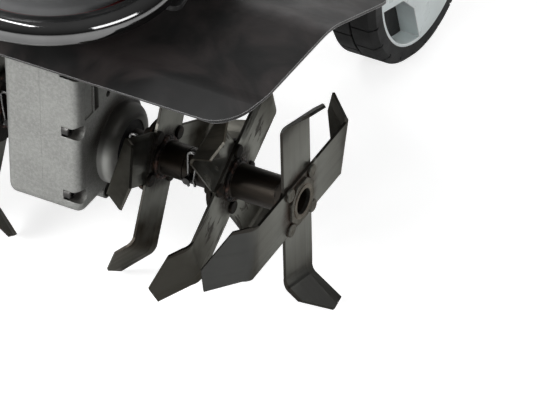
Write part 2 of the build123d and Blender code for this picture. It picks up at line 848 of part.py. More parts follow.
def wing_screws():
    screw = Rot(180, 0, 0) * cap_screw(wing_thickness + face_gap + 2 * bumper_tube_wall)
    return [Pos(side * wing_bolt_x, wing_bolt_y, mount_top_z - wing_thickness) * screw for side in (-1, 1)]


# Motor mount and hood

boss_angles = (45, 135, 225, 315)


def hood_bosses(bottom, top, wall_radius):
    """Screw bosses inside a hood wall, each joined to the wall by a web."""
    boss = rod_z(hood_boss_radius, bottom, top, hood_boss_ring)
    boss += block(hood_boss_ring, wall_radius - hood_wall / 2, -hood_wall / 2, hood_wall / 2, bottom, top)
    return [Pos(0, motor_y, 0) * Rot(0, 0, a) * boss for a in boss_angles]


def hood_screw_holes(radius, bottom, top):
    hole = rod_z(radius, bottom, top, hood_boss_ring)
    return [Pos(0, motor_y, 0) * Rot(0, 0, a) * hole for a in boss_angles]


def motor_mount():
    """What carries the motor: a pad on the guard, a cup, a flange with wings and two rear cheeks."""
    far = 2 * wing_reach
    wedge = outline((0, 0), (far * cos(radians(wing_front_angle)), far * sin(radians(wing_front_angle))),
                    (far * cos(radians(wing_rear_angle)), far * sin(radians(wing_rear_angle))))
    wing = (Circle(wing_reach) - Circle(mount_radius - mount_wall)) & wedge
    wing = fillet(wing.vertices().sort_by_distance((0, 0))[-2:], wing_corner)
    wing = Pos(0, motor_y, mount_top_z - wing_thickness) * extrude(wing, wing_thickness)
    cheek = block(cheek_inner_x, cheek_outer_x, 0, cheek_rear_y, guard_top_z, cheek_top_z)
    pad = block(-case_half_width, case_half_width, case_front_y, case_rear_y, guard_top_z, pad_top_z)
    mount = fillet(pad.edges().filter_by(Axis.Z), case_edge)
    mount += rod_z(mount_radius, pad_top_z, mount_top_z, 0, motor_y)
    mount += rod_z(skirt_radius, mount_top_z - wing_thickness, mount_top_z, 0, motor_y)
    mount += hood_bosses(mount_top_z - hood_screw_bite - hood_wall, mount_top_z, skirt_radius)
    mount += [wing, mirrored(wing), cheek, mirrored(cheek)]
    mount -= rod_z(mount_radius - mount_wall, floor_top_z, mount_top_z, 0, motor_y)
    mount -= hood_screw_holes(hood_screw_radius + running_clearance,
                              mount_top_z - hood_screw_bite, mount_top_z)
    mount -= rod_z(worm_bearing_radius, guard_top_z, floor_top_z, 0, motor_y)
    for x, y in mount_bolts:
        mount -= rod_z(bolt_hole_radius, guard_top_z, floor_top_z, x, y)
        mount -= rod_z(bolt_pocket_radius, floor_top_z, mount_top_z, x, y)
    for side in (-1, 1):
        mount -= rod_z(bolt_hole_radius, mount_top_z - wing_thickness, mount_top_z,
                       side * wing_bolt_x, wing_bolt_y)
        ends = sorted((side * cheek_inner_x, side * cheek_outer_x))
        for y, z in cheek_bolts:
            mount -= rod_x(bolt_radius + running_clearance, *ends, y, z)
    return mount


def mount_screws():
    screw = cap_screw(mount_floor + mount_pad_height + guard_thickness + mount_bolt_grip - thread_end_gap)
    return [Pos(x, y, floor_top_z) * screw for x, y in mount_bolts]


def hood_skirt():
    skirt = ring_z(skirt_radius, skirt_radius - hood_wall, mount_top_z, skirt_top_z, 0, motor_y)
    skirt += hood_bosses(mount_top_z, skirt_top_z, skirt_radius)
    return skirt - hood_screw_holes(hood_screw_radius + bolt_hole_clearance, mount_top_z, skirt_top_z)


def hood_shell():
    """A flared wall with upright vent slots on both sides of its rear half."""
    flare_top = skirt_top_z + shell_flare
    lip = skirt_radius + shell_lip
    wall = outline((lip, skirt_top_z), (shell_radius, flare_top), (shell_radius, shell_top_z),
                   (shell_radius - hood_wall, shell_top_z), (shell_radius - hood_wall, flare_top),
                   (skirt_radius - hood_wall, skirt_top_z))
    outside = spun(outline((lip, skirt_top_z), (shell_radius, flare_top), (shell_radius, shell_top_z),
                           (2 * shell_radius, shell_top_z), (2 * shell_radius, skirt_top_z)))
    shell = spun(wall)
    shell += [boss - outside for boss in hood_bosses(skirt_top_z, shell_top_z, shell_radius)]
    shell -= hood_screw_holes(hood_screw_radius + bolt_hole_clearance, skirt_top_z, shell_top_z)
    middle = (flare_top + shell_top_z) / 2
    slot = Pos(shell_radius, 0, middle) * Rot(0, 90, 0) * extrude(
        SlotOverall(vent_length, vent_width), 2 * hood_wall, both=True)
    for side in (vent_start_angle, 180 - vent_start_angle - vent_pitch * (vent_count - 1)):
        for i in range(vent_count):
            shell -= Pos(0, motor_y, 0) * Rot(0, 0, side + i * vent_pitch) * slot
    return shell


def hood_cap():
    """The domed lid, hollow, with counterbored holes for the long hood screws."""
    outer = make_face([Line((0, shell_top_z), (shell_radius, shell_top_z)),
                       Line((shell_radius, shell_top_z), (shell_radius, shell_top_z + cap_rim)),
                       ThreePointArc((shell_radius, shell_top_z + cap_rim),
                                     (cap_flat_radius + sin(pi / 4) * (shell_radius - cap_flat_radius),
                                      cap_top_z - (1 - sin(pi / 4)) * (cap_height - cap_rim)),
                                     (cap_flat_radius, cap_top_z)),
                       Line((cap_flat_radius, cap_top_z), (0, cap_top_z)),
                       Line((0, cap_top_z), (0, shell_top_z))])
    dome = spun(outer)
    inner = scale(outer, by=(1 - hood_wall / shell_radius, 1, 1))
    hollow = Pos(0, 0, -hood_wall) * spun(inner)
    cap = dome - hollow
    cap += [boss & dome for boss in hood_bosses(shell_top_z, cap_top_z, shell_radius)]
    cap -= hood_screw_holes(hood_screw_radius + bolt_hole_clearance, shell_top_z, cap_top_z)
    return cap - hood_screw_holes(hood_screw_head_radius + bolt_hole_clearance,
                                  shell_top_z + cap_rim, cap_top_z)


def hood_screws():
    bottom = mount_top_z - hood_screw_bite
    screw = rod_z(hood_screw_radius, bottom, shell_top_z + cap_rim)
    screw += rod_z(hood_screw_head_radius, shell_top_z + cap_rim, shell_top_z + cap_rim + hood_screw_head)
    slot = block(-hood_screw_head_radius, hood_screw_head_radius, -screw_slot / 2, screw_slot / 2,
                 0, hood_screw_head)
    screw -= Pos(0, 0, shell_top_z + cap_rim + hood_screw_head / 2) * slot
    return [Pos(0, motor_y, 0) * Rot(0, 0, a) * Pos(hood_boss_ring, 0, 0) * screw for a in boss_angles]


# Motor

fan_bottom_z = floor_top_z + fan_lift
stator_bottom_z = floor_top_z + stator_lift
stator_top_z = stator_bottom_z + stator_length
commutator_top_z = can_top_z - commutator_clearance
commutator_bottom_z = commutator_top_z - commutator_length


def motor_can():
    can = ring_z(can_radius, can_radius - can_wall, floor_top_z, can_top_z, 0, motor_y)
    can += ring_z(can_radius, can_radius - 2 * can_wall, stator_bottom_z - can_wall, stator_bottom_z,
                  0, motor_y)
    window = Pos(can_radius, 0, fan_bottom_z + fan_height / 2) * Box(4 * can_wall, 2 * fan_height, fan_height)
    for i in range(4):
        can -= Pos(0, motor_y, 0) * Rot(0, 0, 90 * i + 45) * window
    return can


def stator():
    """The field pack: a ring with two pole shoes facing the armature."""
    ring = ring_z(can_radius - can_wall - running_clearance, stator_bore_radius,
                  stator_bottom_z, stator_top_z, 0, motor_y)
    for side in (-1, 1):
        ring -= Pos(side * stator_bore_radius, motor_y, (stator_bottom_z + stator_top_z) / 2) * Box(
            2 * pole_gap, 3 * pole_gap, stator_length)
    return ring


def armature_core():
    core = ring_z(armature_radius, rotor_shaft_radius + running_clearance, stator_bottom_z, stator_top_z,
                  0, motor_y)
    slot = Box(2 * armature_slot_depth, armature_slot_width, stator_length)
    slot = Pos(armature_radius, 0, (stator_bottom_z + stator_top_z) / 2) * slot
    return core - around_motor(slot, armature_slots)


def armature_copper():
    """The end windings below and above the core, and the commutator."""
    bore = rotor_shaft_radius + running_clearance
    below = ring_z(winding_radius, bore, stator_bottom_z - winding_overhang, stator_bottom_z, 0, motor_y)
    above = ring_z(winding_radius, bore, stator_top_z, stator_top_z + winding_overhang, 0, motor_y)
    segments = ring_z(commutator_radius, bore, commutator_bottom_z, commutator_top_z, 0, motor_y)
    groove = Box(2 * commutator_groove, commutator_groove, commutator_length)
    groove = Pos(commutator_radius, 0, (commutator_bottom_z + commutator_top_z) / 2) * groove
    segments -= around_motor(groove, 2 * armature_slots)
    return [below, above, segments]


def cooling_fan():
    bore = rotor_shaft_radius + running_clearance
    sleeve = 2 * rotor_shaft_radius
    fan = rod_z(fan_radius, fan_bottom_z, fan_bottom_z + fan_plate, 0, motor_y)
    fan += rod_z(sleeve, fan_bottom_z, fan_bottom_z + fan_height, 0, motor_y)
    half = fan_blade_thickness / 2
    blade = block(sleeve - fan_plate, fan_radius - fan_plate, -half, half,
                  fan_bottom_z, fan_bottom_z + fan_height)
    fan += around_motor(blade, fan_blades)
    return fan - rod_z(bore, fan_bottom_z, fan_bottom_z + fan_height, 0, motor_y)


brush_z = (commutator_bottom_z + commutator_top_z) / 2
brush_inner_x = commutator_radius + brush_gap


def motor_end_plate():
    """The upper end plate with the bearing seat and two brush boxes hanging from it."""
    plate = rod_z(can_radius, can_top_z, can_top_z + end_plate_thickness, 0, motor_y)
    plate += rod_z(top_bearing_radius + can_wall, top_bearing_bottom, can_top_z + end_plate_thickness,
                   0, motor_y)
    holder = brush_width / 2 + brush_box_wall
    start = brush_inner_x + brush_box_gap
    for side in (-1, 1):
        ends = sorted((side * start, side * (start + brush_length)))
        plate += block(*ends, motor_y - holder, motor_y + holder, brush_z - holder, can_top_z)
    slot = brush_width / 2 + slip_clearance
    plate -= Pos(0, motor_y, brush_z) * Box(4 * (start + brush_length), 2 * slot, 2 * slot)
    plate -= rod_z(top_bearing_radius + running_clearance, top_bearing_bottom, rotor_top_z, 0, motor_y)
    return plate - rod_z(rotor_shaft_radius + worm_side_gap, brush_z, top_bearing_bottom, 0, motor_y)


def brushes():
    half = brush_width / 2
    brush = block(brush_inner_x, brush_inner_x + brush_length, motor_y - half, motor_y + half,
                  brush_z - half, brush_z + half)
    return both_sides(brush)


# Rear frame and wheel carriage

def handle_point(along, lift=0.0):
    """A point in (Y, Z) on the lower handle's line, or lifted square off it."""
    angle = radians(handle_angle)
    return (handle_start_y + along * cos(angle) - lift * sin(angle),
            handle_start_z + along * sin(angle) + lift * cos(angle))


handle_bolts = [handle_point(handle_bolt_first), handle_point(handle_bolt_second)]


def lobe_point(angle):
    return (pivot_y + lobe_radius * cos(radians(angle)), pivot_z + lobe_radius * sin(radians(angle)))


def side_plate():
    """A plate from the motor mount's cheek to the handle foot and to a round lobe at the carriage pivot."""
    low = guard_top_z + plate_rise
    front = cheek_bolts[0][0] - plate_margin
    rear = cheek_bolts[-1][0] + plate_margin
    top = handle_bolt_second + plate_margin + handle_tube_radius
    face = outline((front, low), (front, cheek_top_z), handle_point(top, plate_margin),
                   handle_point(top, -plate_margin), lobe_point(40), (pivot_y, pivot_z), lobe_point(215),
                   (rear, low))
    face += Pos(pivot_y, pivot_z) * Circle(lobe_radius)
    plate = slab_x(face, plate_inner_x, plate_outer_x)
    for y, z in cheek_bolts + handle_bolts:
        plate -= rod_x(bolt_hole_radius, plate_inner_x, plate_outer_x, y, z)
    return plate - rod_x(pivot_radius + running_clearance, plate_inner_x, plate_outer_x, pivot_y, pivot_z)


def slot_cut():
    """The arc slot that the carriage's clamp stud travels in."""
    arc = CenterArc((0, 0), slot_ring, arm_angle, carriage_swing)
    slot = SlotArc(arc, 2 * (stud_radius + stud_clearance))
    return slab_x(Pos(pivot_y, pivot_z) * slot, plate_inner_x, plate_outer_x)


def frame_bolts():
    """Bolts along X that hold the side plates to the cheeks and the handle tubes to the plates."""
    pieces = []
    for y, z in cheek_bolts:
        place = Pos(plate_outer_x, y, z) * Rot(0, 90, 0)
        pieces += both_sides(place * cap_screw(plate_outer_x - cheek_inner_x - thread_end_gap))
    tube_side = lower_tube_x + handle_tube_radius + face_gap
    for y, z in handle_bolts:
        place = Pos(tube_side, y, z) * Rot(0, 90, 0)
        pieces += both_sides(place * cap_screw(tube_side - plate_inner_x + nut_height))
        pieces += both_sides(Pos(plate_inner_x, y, z) * Rot(0, 90, 0) * hex_nut(bolt_radius))
    bar_y, bar_z = handle_point(cross_bar_along)
    place = Pos(tube_side, bar_y, bar_z) * Rot(0, 90, 0)
    length = 2 * handle_tube_radius + 2 * face_gap + cross_bar_bite - thread_end_gap
    pieces += both_sides(place * cap_screw(length))
    return pieces


def arm_point(along):
    return (pivot_y + along * cos(radians(arm_angle)), pivot_z + along * sin(radians(arm_angle)))


stud_y, stud_z = arm_point(slot_ring)
brace_y, brace_z = arm_point(brace_along_arm)


def wheel_carriage():
    """Two flat arms joined by a round brace, swinging on the side plates' pivots."""
    middle_y, middle_z = arm_point(arm_length / 2)
    face = Pos(middle_y, middle_z) * Rot(0, 0, arm_angle) * SlotCenterToCenter(arm_length, arm_width)
    arm = slab_x(face, arm_inner_x, arm_outer_x)
    carriage = rod_x(brace_radius, -arm_outer_x, arm_outer_x, brace_y, brace_z) + both_sides(arm)
    for side in (-1, 1):
        ends = sorted((side * arm_inner_x, side * arm_outer_x))
        carriage -= rod_x(pivot_radius + running_clearance, *ends, pivot_y, pivot_z)
        carriage -= rod_x(axle_radius + running_clearance, *ends, axle_y, axle_z)
    return carriage - rod_x(stud_radius + running_clearance, arm_inner_x, arm_outer_x, stud_y, stud_z)


def pivot_bolts():
    head_start = arm_outer_x + face_gap
    bolt = rod_x(pivot_radius, plate_inner_x - nut_height, head_start, pivot_y, pivot_z)
    hexagon = RegularPolygon(nut_corner_ratio * pivot_radius, 6)
    head = slab_x(Pos(pivot_y, pivot_z) * hexagon, head_start, head_start + nut_height)
    nut = Pos(plate_inner_x, pivot_y, pivot_z) * Rot(0, 90, 0) * hex_nut(pivot_radius)
    return both_sides(bolt + head) + both_sides(nut)


def clamp_stud():
    head_end = plate_inner_x - face_gap
    stud = rod_x(stud_radius, head_end, arm_outer_x + face_gap + knob_height - knob_crown, stud_y, stud_z)
    head_start = head_end - round_head_height
    return stud + rod_x(round_head_ratio * stud_radius, head_start, head_end, stud_y, stud_z)


def lobed_knob(start, bore, y, z):
    """A hand knob with rounded lobes, its face standing at start and its thread going most of the way in."""
    face = Circle(0.8 * knob_radius)
    for i in range(knob_lobes):
        face += Rot(0, 0, 360 / knob_lobes * i) * Pos(0.72 * knob_radius, 0) * Circle(0.28 * knob_radius)
    knob = slab_x(face, 0, knob_height)
    knob = chamfer(knob.edges().group_by(Axis.X)[-1], knob_edge)
    knob -= rod_x(bore + running_clearance, 0, knob_height - knob_edge)
    return Pos(start, y, z) * knob


def wheel_axle():
    end = wheel_outer_x - rim_recess + axle_proud
    return rod_x(axle_radius, -end, end, axle_y, axle_z)


def axle_caps():
    start = wheel_outer_x - rim_recess + face_gap
    cap = rod_x(hubcap_radius, start, start + hubcap_height, axle_y, axle_z)
    cap = fillet(cap.edges().filter_by(GeomType.CIRCLE).group_by(Axis.X)[-1], 0.45 * hubcap_height)
    axle_end = wheel_outer_x - rim_recess + axle_proud
    cap -= rod_x(axle_radius + running_clearance, start, axle_end, axle_y, axle_z)
    return both_sides(cap)


def tyre():
    """A wide tyre of flat tread plates staggered from side to side, on a web and a hub of its own."""
    half = wheel_width / 2
    base = rim_radius + running_clearance
    bore = axle_radius + running_clearance
    back = wheel_outer_x - rim_depth
    groove_bottom = wheel_radius - tread_depth
    section = outline((-half, base), (half, base), (half, wheel_radius - tread_shoulder),
                      (half - tread_shoulder, wheel_radius), (tread_shoulder - half, wheel_radius),
                      (-half, wheel_radius - tread_shoulder))
    body = revolve(section, Axis.X)
    body -= ring_x(2 * wheel_radius, groove_bottom, -tread_groove / 2, tread_groove / 2)
    groove = block(0, half, -tread_groove / 2, tread_groove / 2, groove_bottom, 2 * wheel_radius)
    groove += block(half - tread_depth, half, -tread_groove / 2, tread_groove / 2,
                    groove_bottom - 2 * tread_depth, 2 * wheel_radius)
    step = 360 / tread_blocks
    for i in range(tread_blocks):
        body -= Rot(step * i, 0, 0) * groove
        body -= Rot(step * (i + 0.5), 0, 0) * mirrored(groove)
    body = Pos(wheel_outer_x - half, 0, 0) * body
    body += ring_x(base + web_thickness, bore, back - web_thickness, back)
    body += ring_x(hub_radius, bore, arm_outer_x + face_gap, back)
    return Pos(0, axle_y, axle_z) * body


def rim():
    """A cover set in the tyre: a thin band round wide windows, flat spokes and a recess for the axle cap."""
    back = wheel_outer_x - rim_depth
    window = outline((window_inner, -window_inner_half), (window_side, -window_side_half),
                     (rim_radius, -window_side_half), (rim_radius, window_side_half),
                     (window_side, window_side_half), (window_inner, window_inner_half))
    window &= Circle(rim_radius - rim_wall)
    cover = rod_x(rim_radius, back, wheel_outer_x)
    for i in range(rim_windows):
        cover -= slab_x(Rot(0, 0, 360 / rim_windows * i + window_turn) * window, back, wheel_outer_x)
    cover -= rod_x(rim_recess_radius, wheel_outer_x - rim_recess, wheel_outer_x)
    return Pos(0, axle_y, axle_z) * (cover - rod_x(axle_radius + face_gap, back, wheel_outer_x))


# Handle

def lower_handle_tube():
    start_y, start_z = handle_point(0)
    end_y, end_z = handle_point(lower_tube_length)
    path = Line((lower_tube_x, start_y, start_z), (lower_tube_x, end_y, end_z))
    section = Circle(handle_tube_radius) - Circle(handle_tube_radius - handle_tube_wall)
    tube = sweep(Plane(path @ 0, z_dir=path % 0) * section, path=path)
    low, high = lower_tube_x - handle_tube_radius, lower_tube_x + handle_tube_radius
    for y, z in handle_bolts + [handle_point(cross_bar_along)]:
        tube -= rod_x(bolt_hole_radius, low, high, y, z)
    return tube - rod_x(fold_bolt_radius + running_clearance, low, high, fold_y, fold_z)


def handle_cross_bar():
    y, z = handle_point(cross_bar_along)
    end = lower_tube_x - handle_tube_radius - face_gap
    bar = rod_x(cross_bar_radius, -end, end, y, z)
    for side in (-1, 1):
        bite = sorted((side * (end - cross_bar_bite), side * end))
        bar -= rod_x(bolt_radius + running_clearance, *bite, y, z)
    return bar


def fold_bolts():
    """Dome-headed bolts that the upper handle folds on, with the knobs on their outer ends."""
    head_end = lower_tube_x - handle_tube_radius - face_gap
    tail_end = upper_tube_x + handle_tube_radius + face_gap + knob_height - knob_crown
    bolt = rod_x(fold_bolt_radius, head_end, tail_end, fold_y, fold_z)
    head = rod_x(round_head_ratio * fold_bolt_radius, head_end - round_head_height, head_end, fold_y, fold_z)
    head = fillet(head.edges().filter_by(GeomType.CIRCLE).group_by(Axis.X)[0], round_head_round)
    return both_sides(bolt + head)


def handle_space(x, along, grip_out=0.0):
    """A point on the upper handle: along the leg, then out along the grip's own angle."""
    y, z = handle_point(fold_along + along)
    return (x, y + grip_out * cos(radians(grip_angle)), z + grip_out * sin(radians(grip_angle)))


grip_lift = radians(grip_angle)
grip_frame = Plane(handle_space(0, upper_length, grip_run), x_dir=(1, 0, 0),
                   z_dir=(0, -sin(grip_lift), cos(grip_lift)))


def upper_handle():
    leg = [(upper_tube_x, -upper_tail), (upper_tube_x, upper_straight),
           (handle_half_width, upper_straight + upper_splay), (handle_half_width, upper_length)]
    right = [handle_space(x, along) for x, along in leg]
    right.append(handle_space(handle_half_width, upper_length, grip_run))
    left = [(-x, y, z) for x, y, z in reversed(right)]
    bends = [upper_bend, upper_bend, upper_bend, grip_bend]
    tube = swept(right + left, handle_tube_radius, bends + bends[::-1], handle_tube_radius - handle_tube_wall)
    for side in (-1, 1):
        ends = [side * upper_tube_x - handle_tube_radius, side * upper_tube_x + handle_tube_radius]
        tube -= rod_x(fold_bolt_radius + running_clearance, *ends, fold_y, fold_z)
    return tube


def handle_grips():
    grip = ring_x(grip_radius, handle_tube_radius + slip_clearance, grip_inner_x, grip_outer_x)
    rims = grip.edges().filter_by(GeomType.CIRCLE)
    rims = rims.filter_by(lambda e: e.radius > handle_tube_radius + grip_edge)
    grip = fillet(rims, grip_edge)
    groove = ring_x(2 * grip_radius, grip_radius - grip_ring_depth, -grip_ring_width / 2, grip_ring_width / 2)
    rings = int((grip_outer_x - grip_inner_x) / grip_ring_pitch)
    for i in range(1, rings):
        grip -= Pos(grip_inner_x + i * grip_ring_pitch, 0, 0) * groove
    return [grip_frame * piece for piece in both_sides(grip)]


# Switch box, drawn about the cross bar: Y runs to the operator, Z is up off the grip

box_screws = [(x, y) for x in (-box_screw_x, box_screw_x) for y in (-box_screw_front, -box_screw_rear)]


def box_half(top):
    """One half of the box: walls round a hollow, with screw posts, tube saddles and bail holes."""
    depth = box_front + box_rear
    plan = Pos(0, (box_rear - box_front) / 2) * Rectangle(2 * box_half_width, depth)
    plan = fillet(plan.vertices(), box_corner)
    half = extrude(plan, box_half_height)
    half = fillet(half.edges().group_by(Axis.Z)[-1], box_wall * 0.9)
    inside = offset(plan, -box_wall)
    half -= extrude(inside, box_half_height - box_wall)
    for x, y in box_screws:
        half += rod_z(box_post_radius, 0, box_half_height - box_wall / 2, x, y)
    half -= rod_x(handle_tube_radius + slip_clearance, -box_half_width, box_half_width)
    half -= rod_x(bail_rod_radius + bail_clearance, -box_half_width, box_half_width, -bail_pivot)
    if top:
        half -= rod_z(button_radius + button_clearance, 0, box_half_height, 0, -button_along)
    drill = box_screw_radius + (running_clearance if top else bolt_hole_clearance)
    for x, y in box_screws:
        half -= rod_z(drill, 0, box_half_height - (box_wall if top else 0), x, y)
        if not top:
            half -= rod_z(2 * box_screw_radius + bolt_hole_clearance, box_half_height - box_screw_head,
                          box_half_height, x, y)
    return half if top else mirror(half, Plane.XY)


def switch_box_screws():
    bottom = -box_half_height
    screw = rod_z(box_screw_radius, bottom + box_screw_head, box_half_height - box_wall - 1)
    screw += rod_z(2 * box_screw_radius, bottom, bottom + box_screw_head)
    screw -= block(-2 * box_screw_radius, 2 * box_screw_radius, -screw_slot / 2, screw_slot / 2,
                   bottom, bottom + box_screw_head / 2)
    return [Pos(x, y, 0) * screw for x, y in box_screws]


def lockout_button():
    roof = box_half_height - box_wall
    button = rod_z(button_radius, roof - button_flange, box_half_height + button_proud, 0, -button_along)
    button = fillet(button.edges().filter_by(GeomType.CIRCLE).group_by(Axis.Z)[-1], 2.0)
    return button + rod_z(button_radius + 2, roof - button_flange, roof, 0, -button_along)


def switch_block():
    base = -box_half_height + box_wall
    front = -button_along - switch_depth / 2
    body = block(-switch_half_width, switch_half_width, front, front + switch_depth,
                 base, base + switch_height)
    plunger_top = base + switch_height + switch_plunger
    return body + rod_z(button_radius / 3, base + switch_height, plunger_top, 0, -button_along)


def bail_lever():
    """One bent rod: a pivot length through the box, two short arms, and a bar beside each grip."""
    arm_x = box_half_width + bail_side_gap
    bar_y = bail_arm * cos(radians(bail_rest_angle)) - bail_pivot
    bar_z = bail_arm * sin(radians(bail_rest_angle))
    right = [(arm_x, -bail_pivot, 0), (arm_x, bar_y, bar_z), (bail_half_span, bar_y, bar_z)]
    left = [(-x, y, z) for x, y, z in reversed(right)]
    return swept(left + right, bail_rod_radius, bail_bend)


def power_inlet():
    """A shrouded plug inlet with two flat blades, standing on the box's front wall."""
    back = -box_front
    front = back - inlet_length
    shroud = block(-inlet_half_width, inlet_half_width, front, back, -inlet_half_height, inlet_half_height)
    shroud = fillet(shroud.edges().filter_by(Axis.Y), inlet_corner)
    shroud -= block(inlet_wall - inlet_half_width, inlet_half_width - inlet_wall, front, back - inlet_floor,
                    inlet_wall - inlet_half_height, inlet_half_height - inlet_wall)
    for side in (-1, 1):
        blade = Box(blade_thickness, blade_length, blade_width)
        shroud += Pos(side * blade_spacing / 2, back - inlet_floor - blade_length / 2, 0) * blade
    return shroud


def cord_hook():
    """A clamp round the right leg with an upturned prong for a cord loop."""
    x, y, z = handle_space(handle_half_width, hook_along)
    leg = (0, cos(radians(handle_angle)), sin(radians(handle_angle)))
    frame = Plane((x, y, z), x_dir=(1, 0, 0), z_dir=leg)
    half = hook_width / 2
    ring = rod_z(handle_tube_radius + hook_wall, -half, half)
    prong_end = -handle_tube_radius - hook_reach
    hook = ring + block(prong_end, -handle_tube_radius, -hook_wall, hook_wall, -half, hook_wall - half)
    hook += block(prong_end, prong_end + hook_wall, -hook_wall, hook_wall, -half, half + hook_wall)
    return frame * (hook - rod_z(handle_tube_radius + slip_clearance, -half, half))


# The whole machine, node by node

def whole_machine():
    nodes = {
        "output_shaft": [output_shaft()],
        "worm_wheel": [worm_wheel()],
        "inner_tine_hubs": both_sides(inner_hub()),
        "outer_tine_hubs": both_sides(outer_hub()),
        "clevis_pins": both_sides(clevis_pin(inner_pin_x)) + both_sides(clevis_pin(outer_pin_x)),
        "hairpin_clips": both_sides(hairpin_clip(inner_pin_x)) + both_sides(hairpin_clip(outer_pin_x)),
        "gearbox_case_right": [case_right_half()],
        "gearbox_case_left": [case_left_half()],
        "cap_screws": gearbox_bolts() + mount_screws() + foot_screws() + wing_screws(),
        "ball_bearings": both_sides(ball_bearing_x(bearing_start)) + rotor_bearings(),
        "shaft_seals": both_sides(shaft_seal()),
        "worm_shaft": [worm_shaft()],
        "armature_core": [armature_core()],
        "armature_copper": armature_copper(),
        "cooling_fan": [cooling_fan()],
        "motor_can": [motor_can()],
        "field_stator": [stator()],
        "motor_end_plate": [motor_end_plate()],
        "carbon_brushes": brushes(),
        "motor_mount": [motor_mount()],
        "hood_skirt": [hood_skirt()],
        "hood_shell": [hood_shell()],
        "hood_cap": [hood_cap()],
        "hood_screws": hood_screws(),
        "tine_guard": [tine_guard()],
        "bumper_tube": [bumper_tube()],
        "side_plate_right": [side_plate() - slot_cut()],
        "side_plate_left": [mirrored(side_plate())],
        "frame_bolts": frame_bolts(),
        "wheel_carriage": [wheel_carriage()],
        "carriage_bolts": pivot_bolts() + [clamp_stud()],
        "carriage_knob": [lobed_knob(arm_outer_x + face_gap, stud_radius, stud_y, stud_z)],
        "wheel_axle": [wheel_axle()],
        "axle_caps": axle_caps(),
        "lower_handle_tubes": both_sides(lower_handle_tube()),
        "handle_cross_bar": [handle_cross_bar()],
        "fold_bolts": fold_bolts(),
        "upper_handle": [upper_handle()],
        "handle_grips": handle_grips(),
        "switch_box_top": [grip_frame * box_half(True)],
        "switch_box_bottom": [grip_frame * box_half(False)],
        "switch_box_screws": [grip_frame * screw for screw in switch_box_screws()],
        "switch_block": [grip_frame * switch_block()],
        "lockout_button": [grip_frame * lockout_button()],
        "bail_lever": [grip_frame * bail_lever()],
        "power_inlet": [grip_frame * power_inlet()],
        "cord_hook": [cord_hook()],
    }
    rivets = []
    for name, (star_x, turn) in star_places.items():
        nodes[name + "_tines_right"] = tine_stars[name]
        nodes[name + "_tines_left"] = [mirrored(strip) for strip in tine_stars[name]]
        for rivet in star_rivets(star_x, turn):
            rivets += both_sides(rivet)
    nodes["tine_rivets"] = rivets
    right_tyre, right_rim = tyre(), rim()
    fold_knob = lobed_knob(upper_tube_x + handle_tube_radius + face_gap, fold_bolt_radius, fold_y, fold_z)
    for side, turned in (("right", lambda shape: shape), ("left", mirrored)):
        nodes["tyre_" + side] = [turned(right_tyre)]
        nodes["rim_" + side] = [turned(right_rim)]
        nodes["fold_knob_" + side] = [turned(fold_knob)]
    return nodes


def write_parts(nodes):
    """Set the machine down on the floor, centred under its box, and write one file for each node."""
    boxes = [shape.bounding_box() for shapes in nodes.values() for shape in shapes]
    middle_y = (min(box.min.Y for box in boxes) + max(box.max.Y for box in boxes)) / 2
    bottom = min(box.min.Z for box in boxes)
    os.makedirs("parts", exist_ok=True)
    for name, shapes in nodes.items():
        solids = [solid for shape in shapes for solid in (Pos(0, -middle_y, -bottom) * shape).solids()]
        export_step(Compound(solids) if len(solids) > 1 else solids[0], f"parts/{name}.step")
    places = {
        "tine shaft": (0, 0, 0),
        "motor shaft": (0, motor_y, 0),
        "carriage pivot": (0, pivot_y, pivot_z),
        "wheel axle": (0, axle_y, axle_z),
        "clamp stud": (arm_outer_x, stud_y, stud_z),
        "handle fold": (0, fold_y, fold_z),
        "bail pivot": tuple(grip_frame.from_local_coords((0, -bail_pivot, 0))),
        "button": tuple(grip_frame.from_local_coords((0, -button_along, box_half_height))),
        "cross bar": tuple(grip_frame.origin),
        "tube end": (tube_end_x, 0, 0),
    }
    for name, (x, y, z) in places.items():
        print(f"{name}: {x:.3f} {y - middle_y:.3f} {z - bottom:.3f}")


write_parts(whole_machine())
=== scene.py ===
import json
import math

import bpy
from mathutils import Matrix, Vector


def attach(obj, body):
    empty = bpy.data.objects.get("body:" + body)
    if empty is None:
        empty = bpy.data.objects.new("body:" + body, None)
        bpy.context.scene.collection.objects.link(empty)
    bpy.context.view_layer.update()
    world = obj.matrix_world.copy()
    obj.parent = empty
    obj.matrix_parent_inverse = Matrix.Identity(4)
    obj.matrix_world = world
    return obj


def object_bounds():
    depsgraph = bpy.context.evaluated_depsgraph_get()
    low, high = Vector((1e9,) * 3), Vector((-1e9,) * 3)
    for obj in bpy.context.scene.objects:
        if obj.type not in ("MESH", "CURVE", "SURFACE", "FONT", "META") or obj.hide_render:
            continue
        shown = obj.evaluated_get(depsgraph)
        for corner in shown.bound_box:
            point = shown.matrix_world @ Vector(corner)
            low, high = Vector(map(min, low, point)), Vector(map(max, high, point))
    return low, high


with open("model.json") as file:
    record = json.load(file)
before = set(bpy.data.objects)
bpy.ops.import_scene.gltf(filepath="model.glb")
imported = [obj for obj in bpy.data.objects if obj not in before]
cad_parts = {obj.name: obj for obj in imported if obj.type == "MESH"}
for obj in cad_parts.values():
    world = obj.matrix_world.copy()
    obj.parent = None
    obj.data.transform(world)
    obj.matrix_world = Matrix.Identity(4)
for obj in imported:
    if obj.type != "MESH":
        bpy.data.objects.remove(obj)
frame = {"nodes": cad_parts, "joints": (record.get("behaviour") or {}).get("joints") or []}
cad_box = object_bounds()

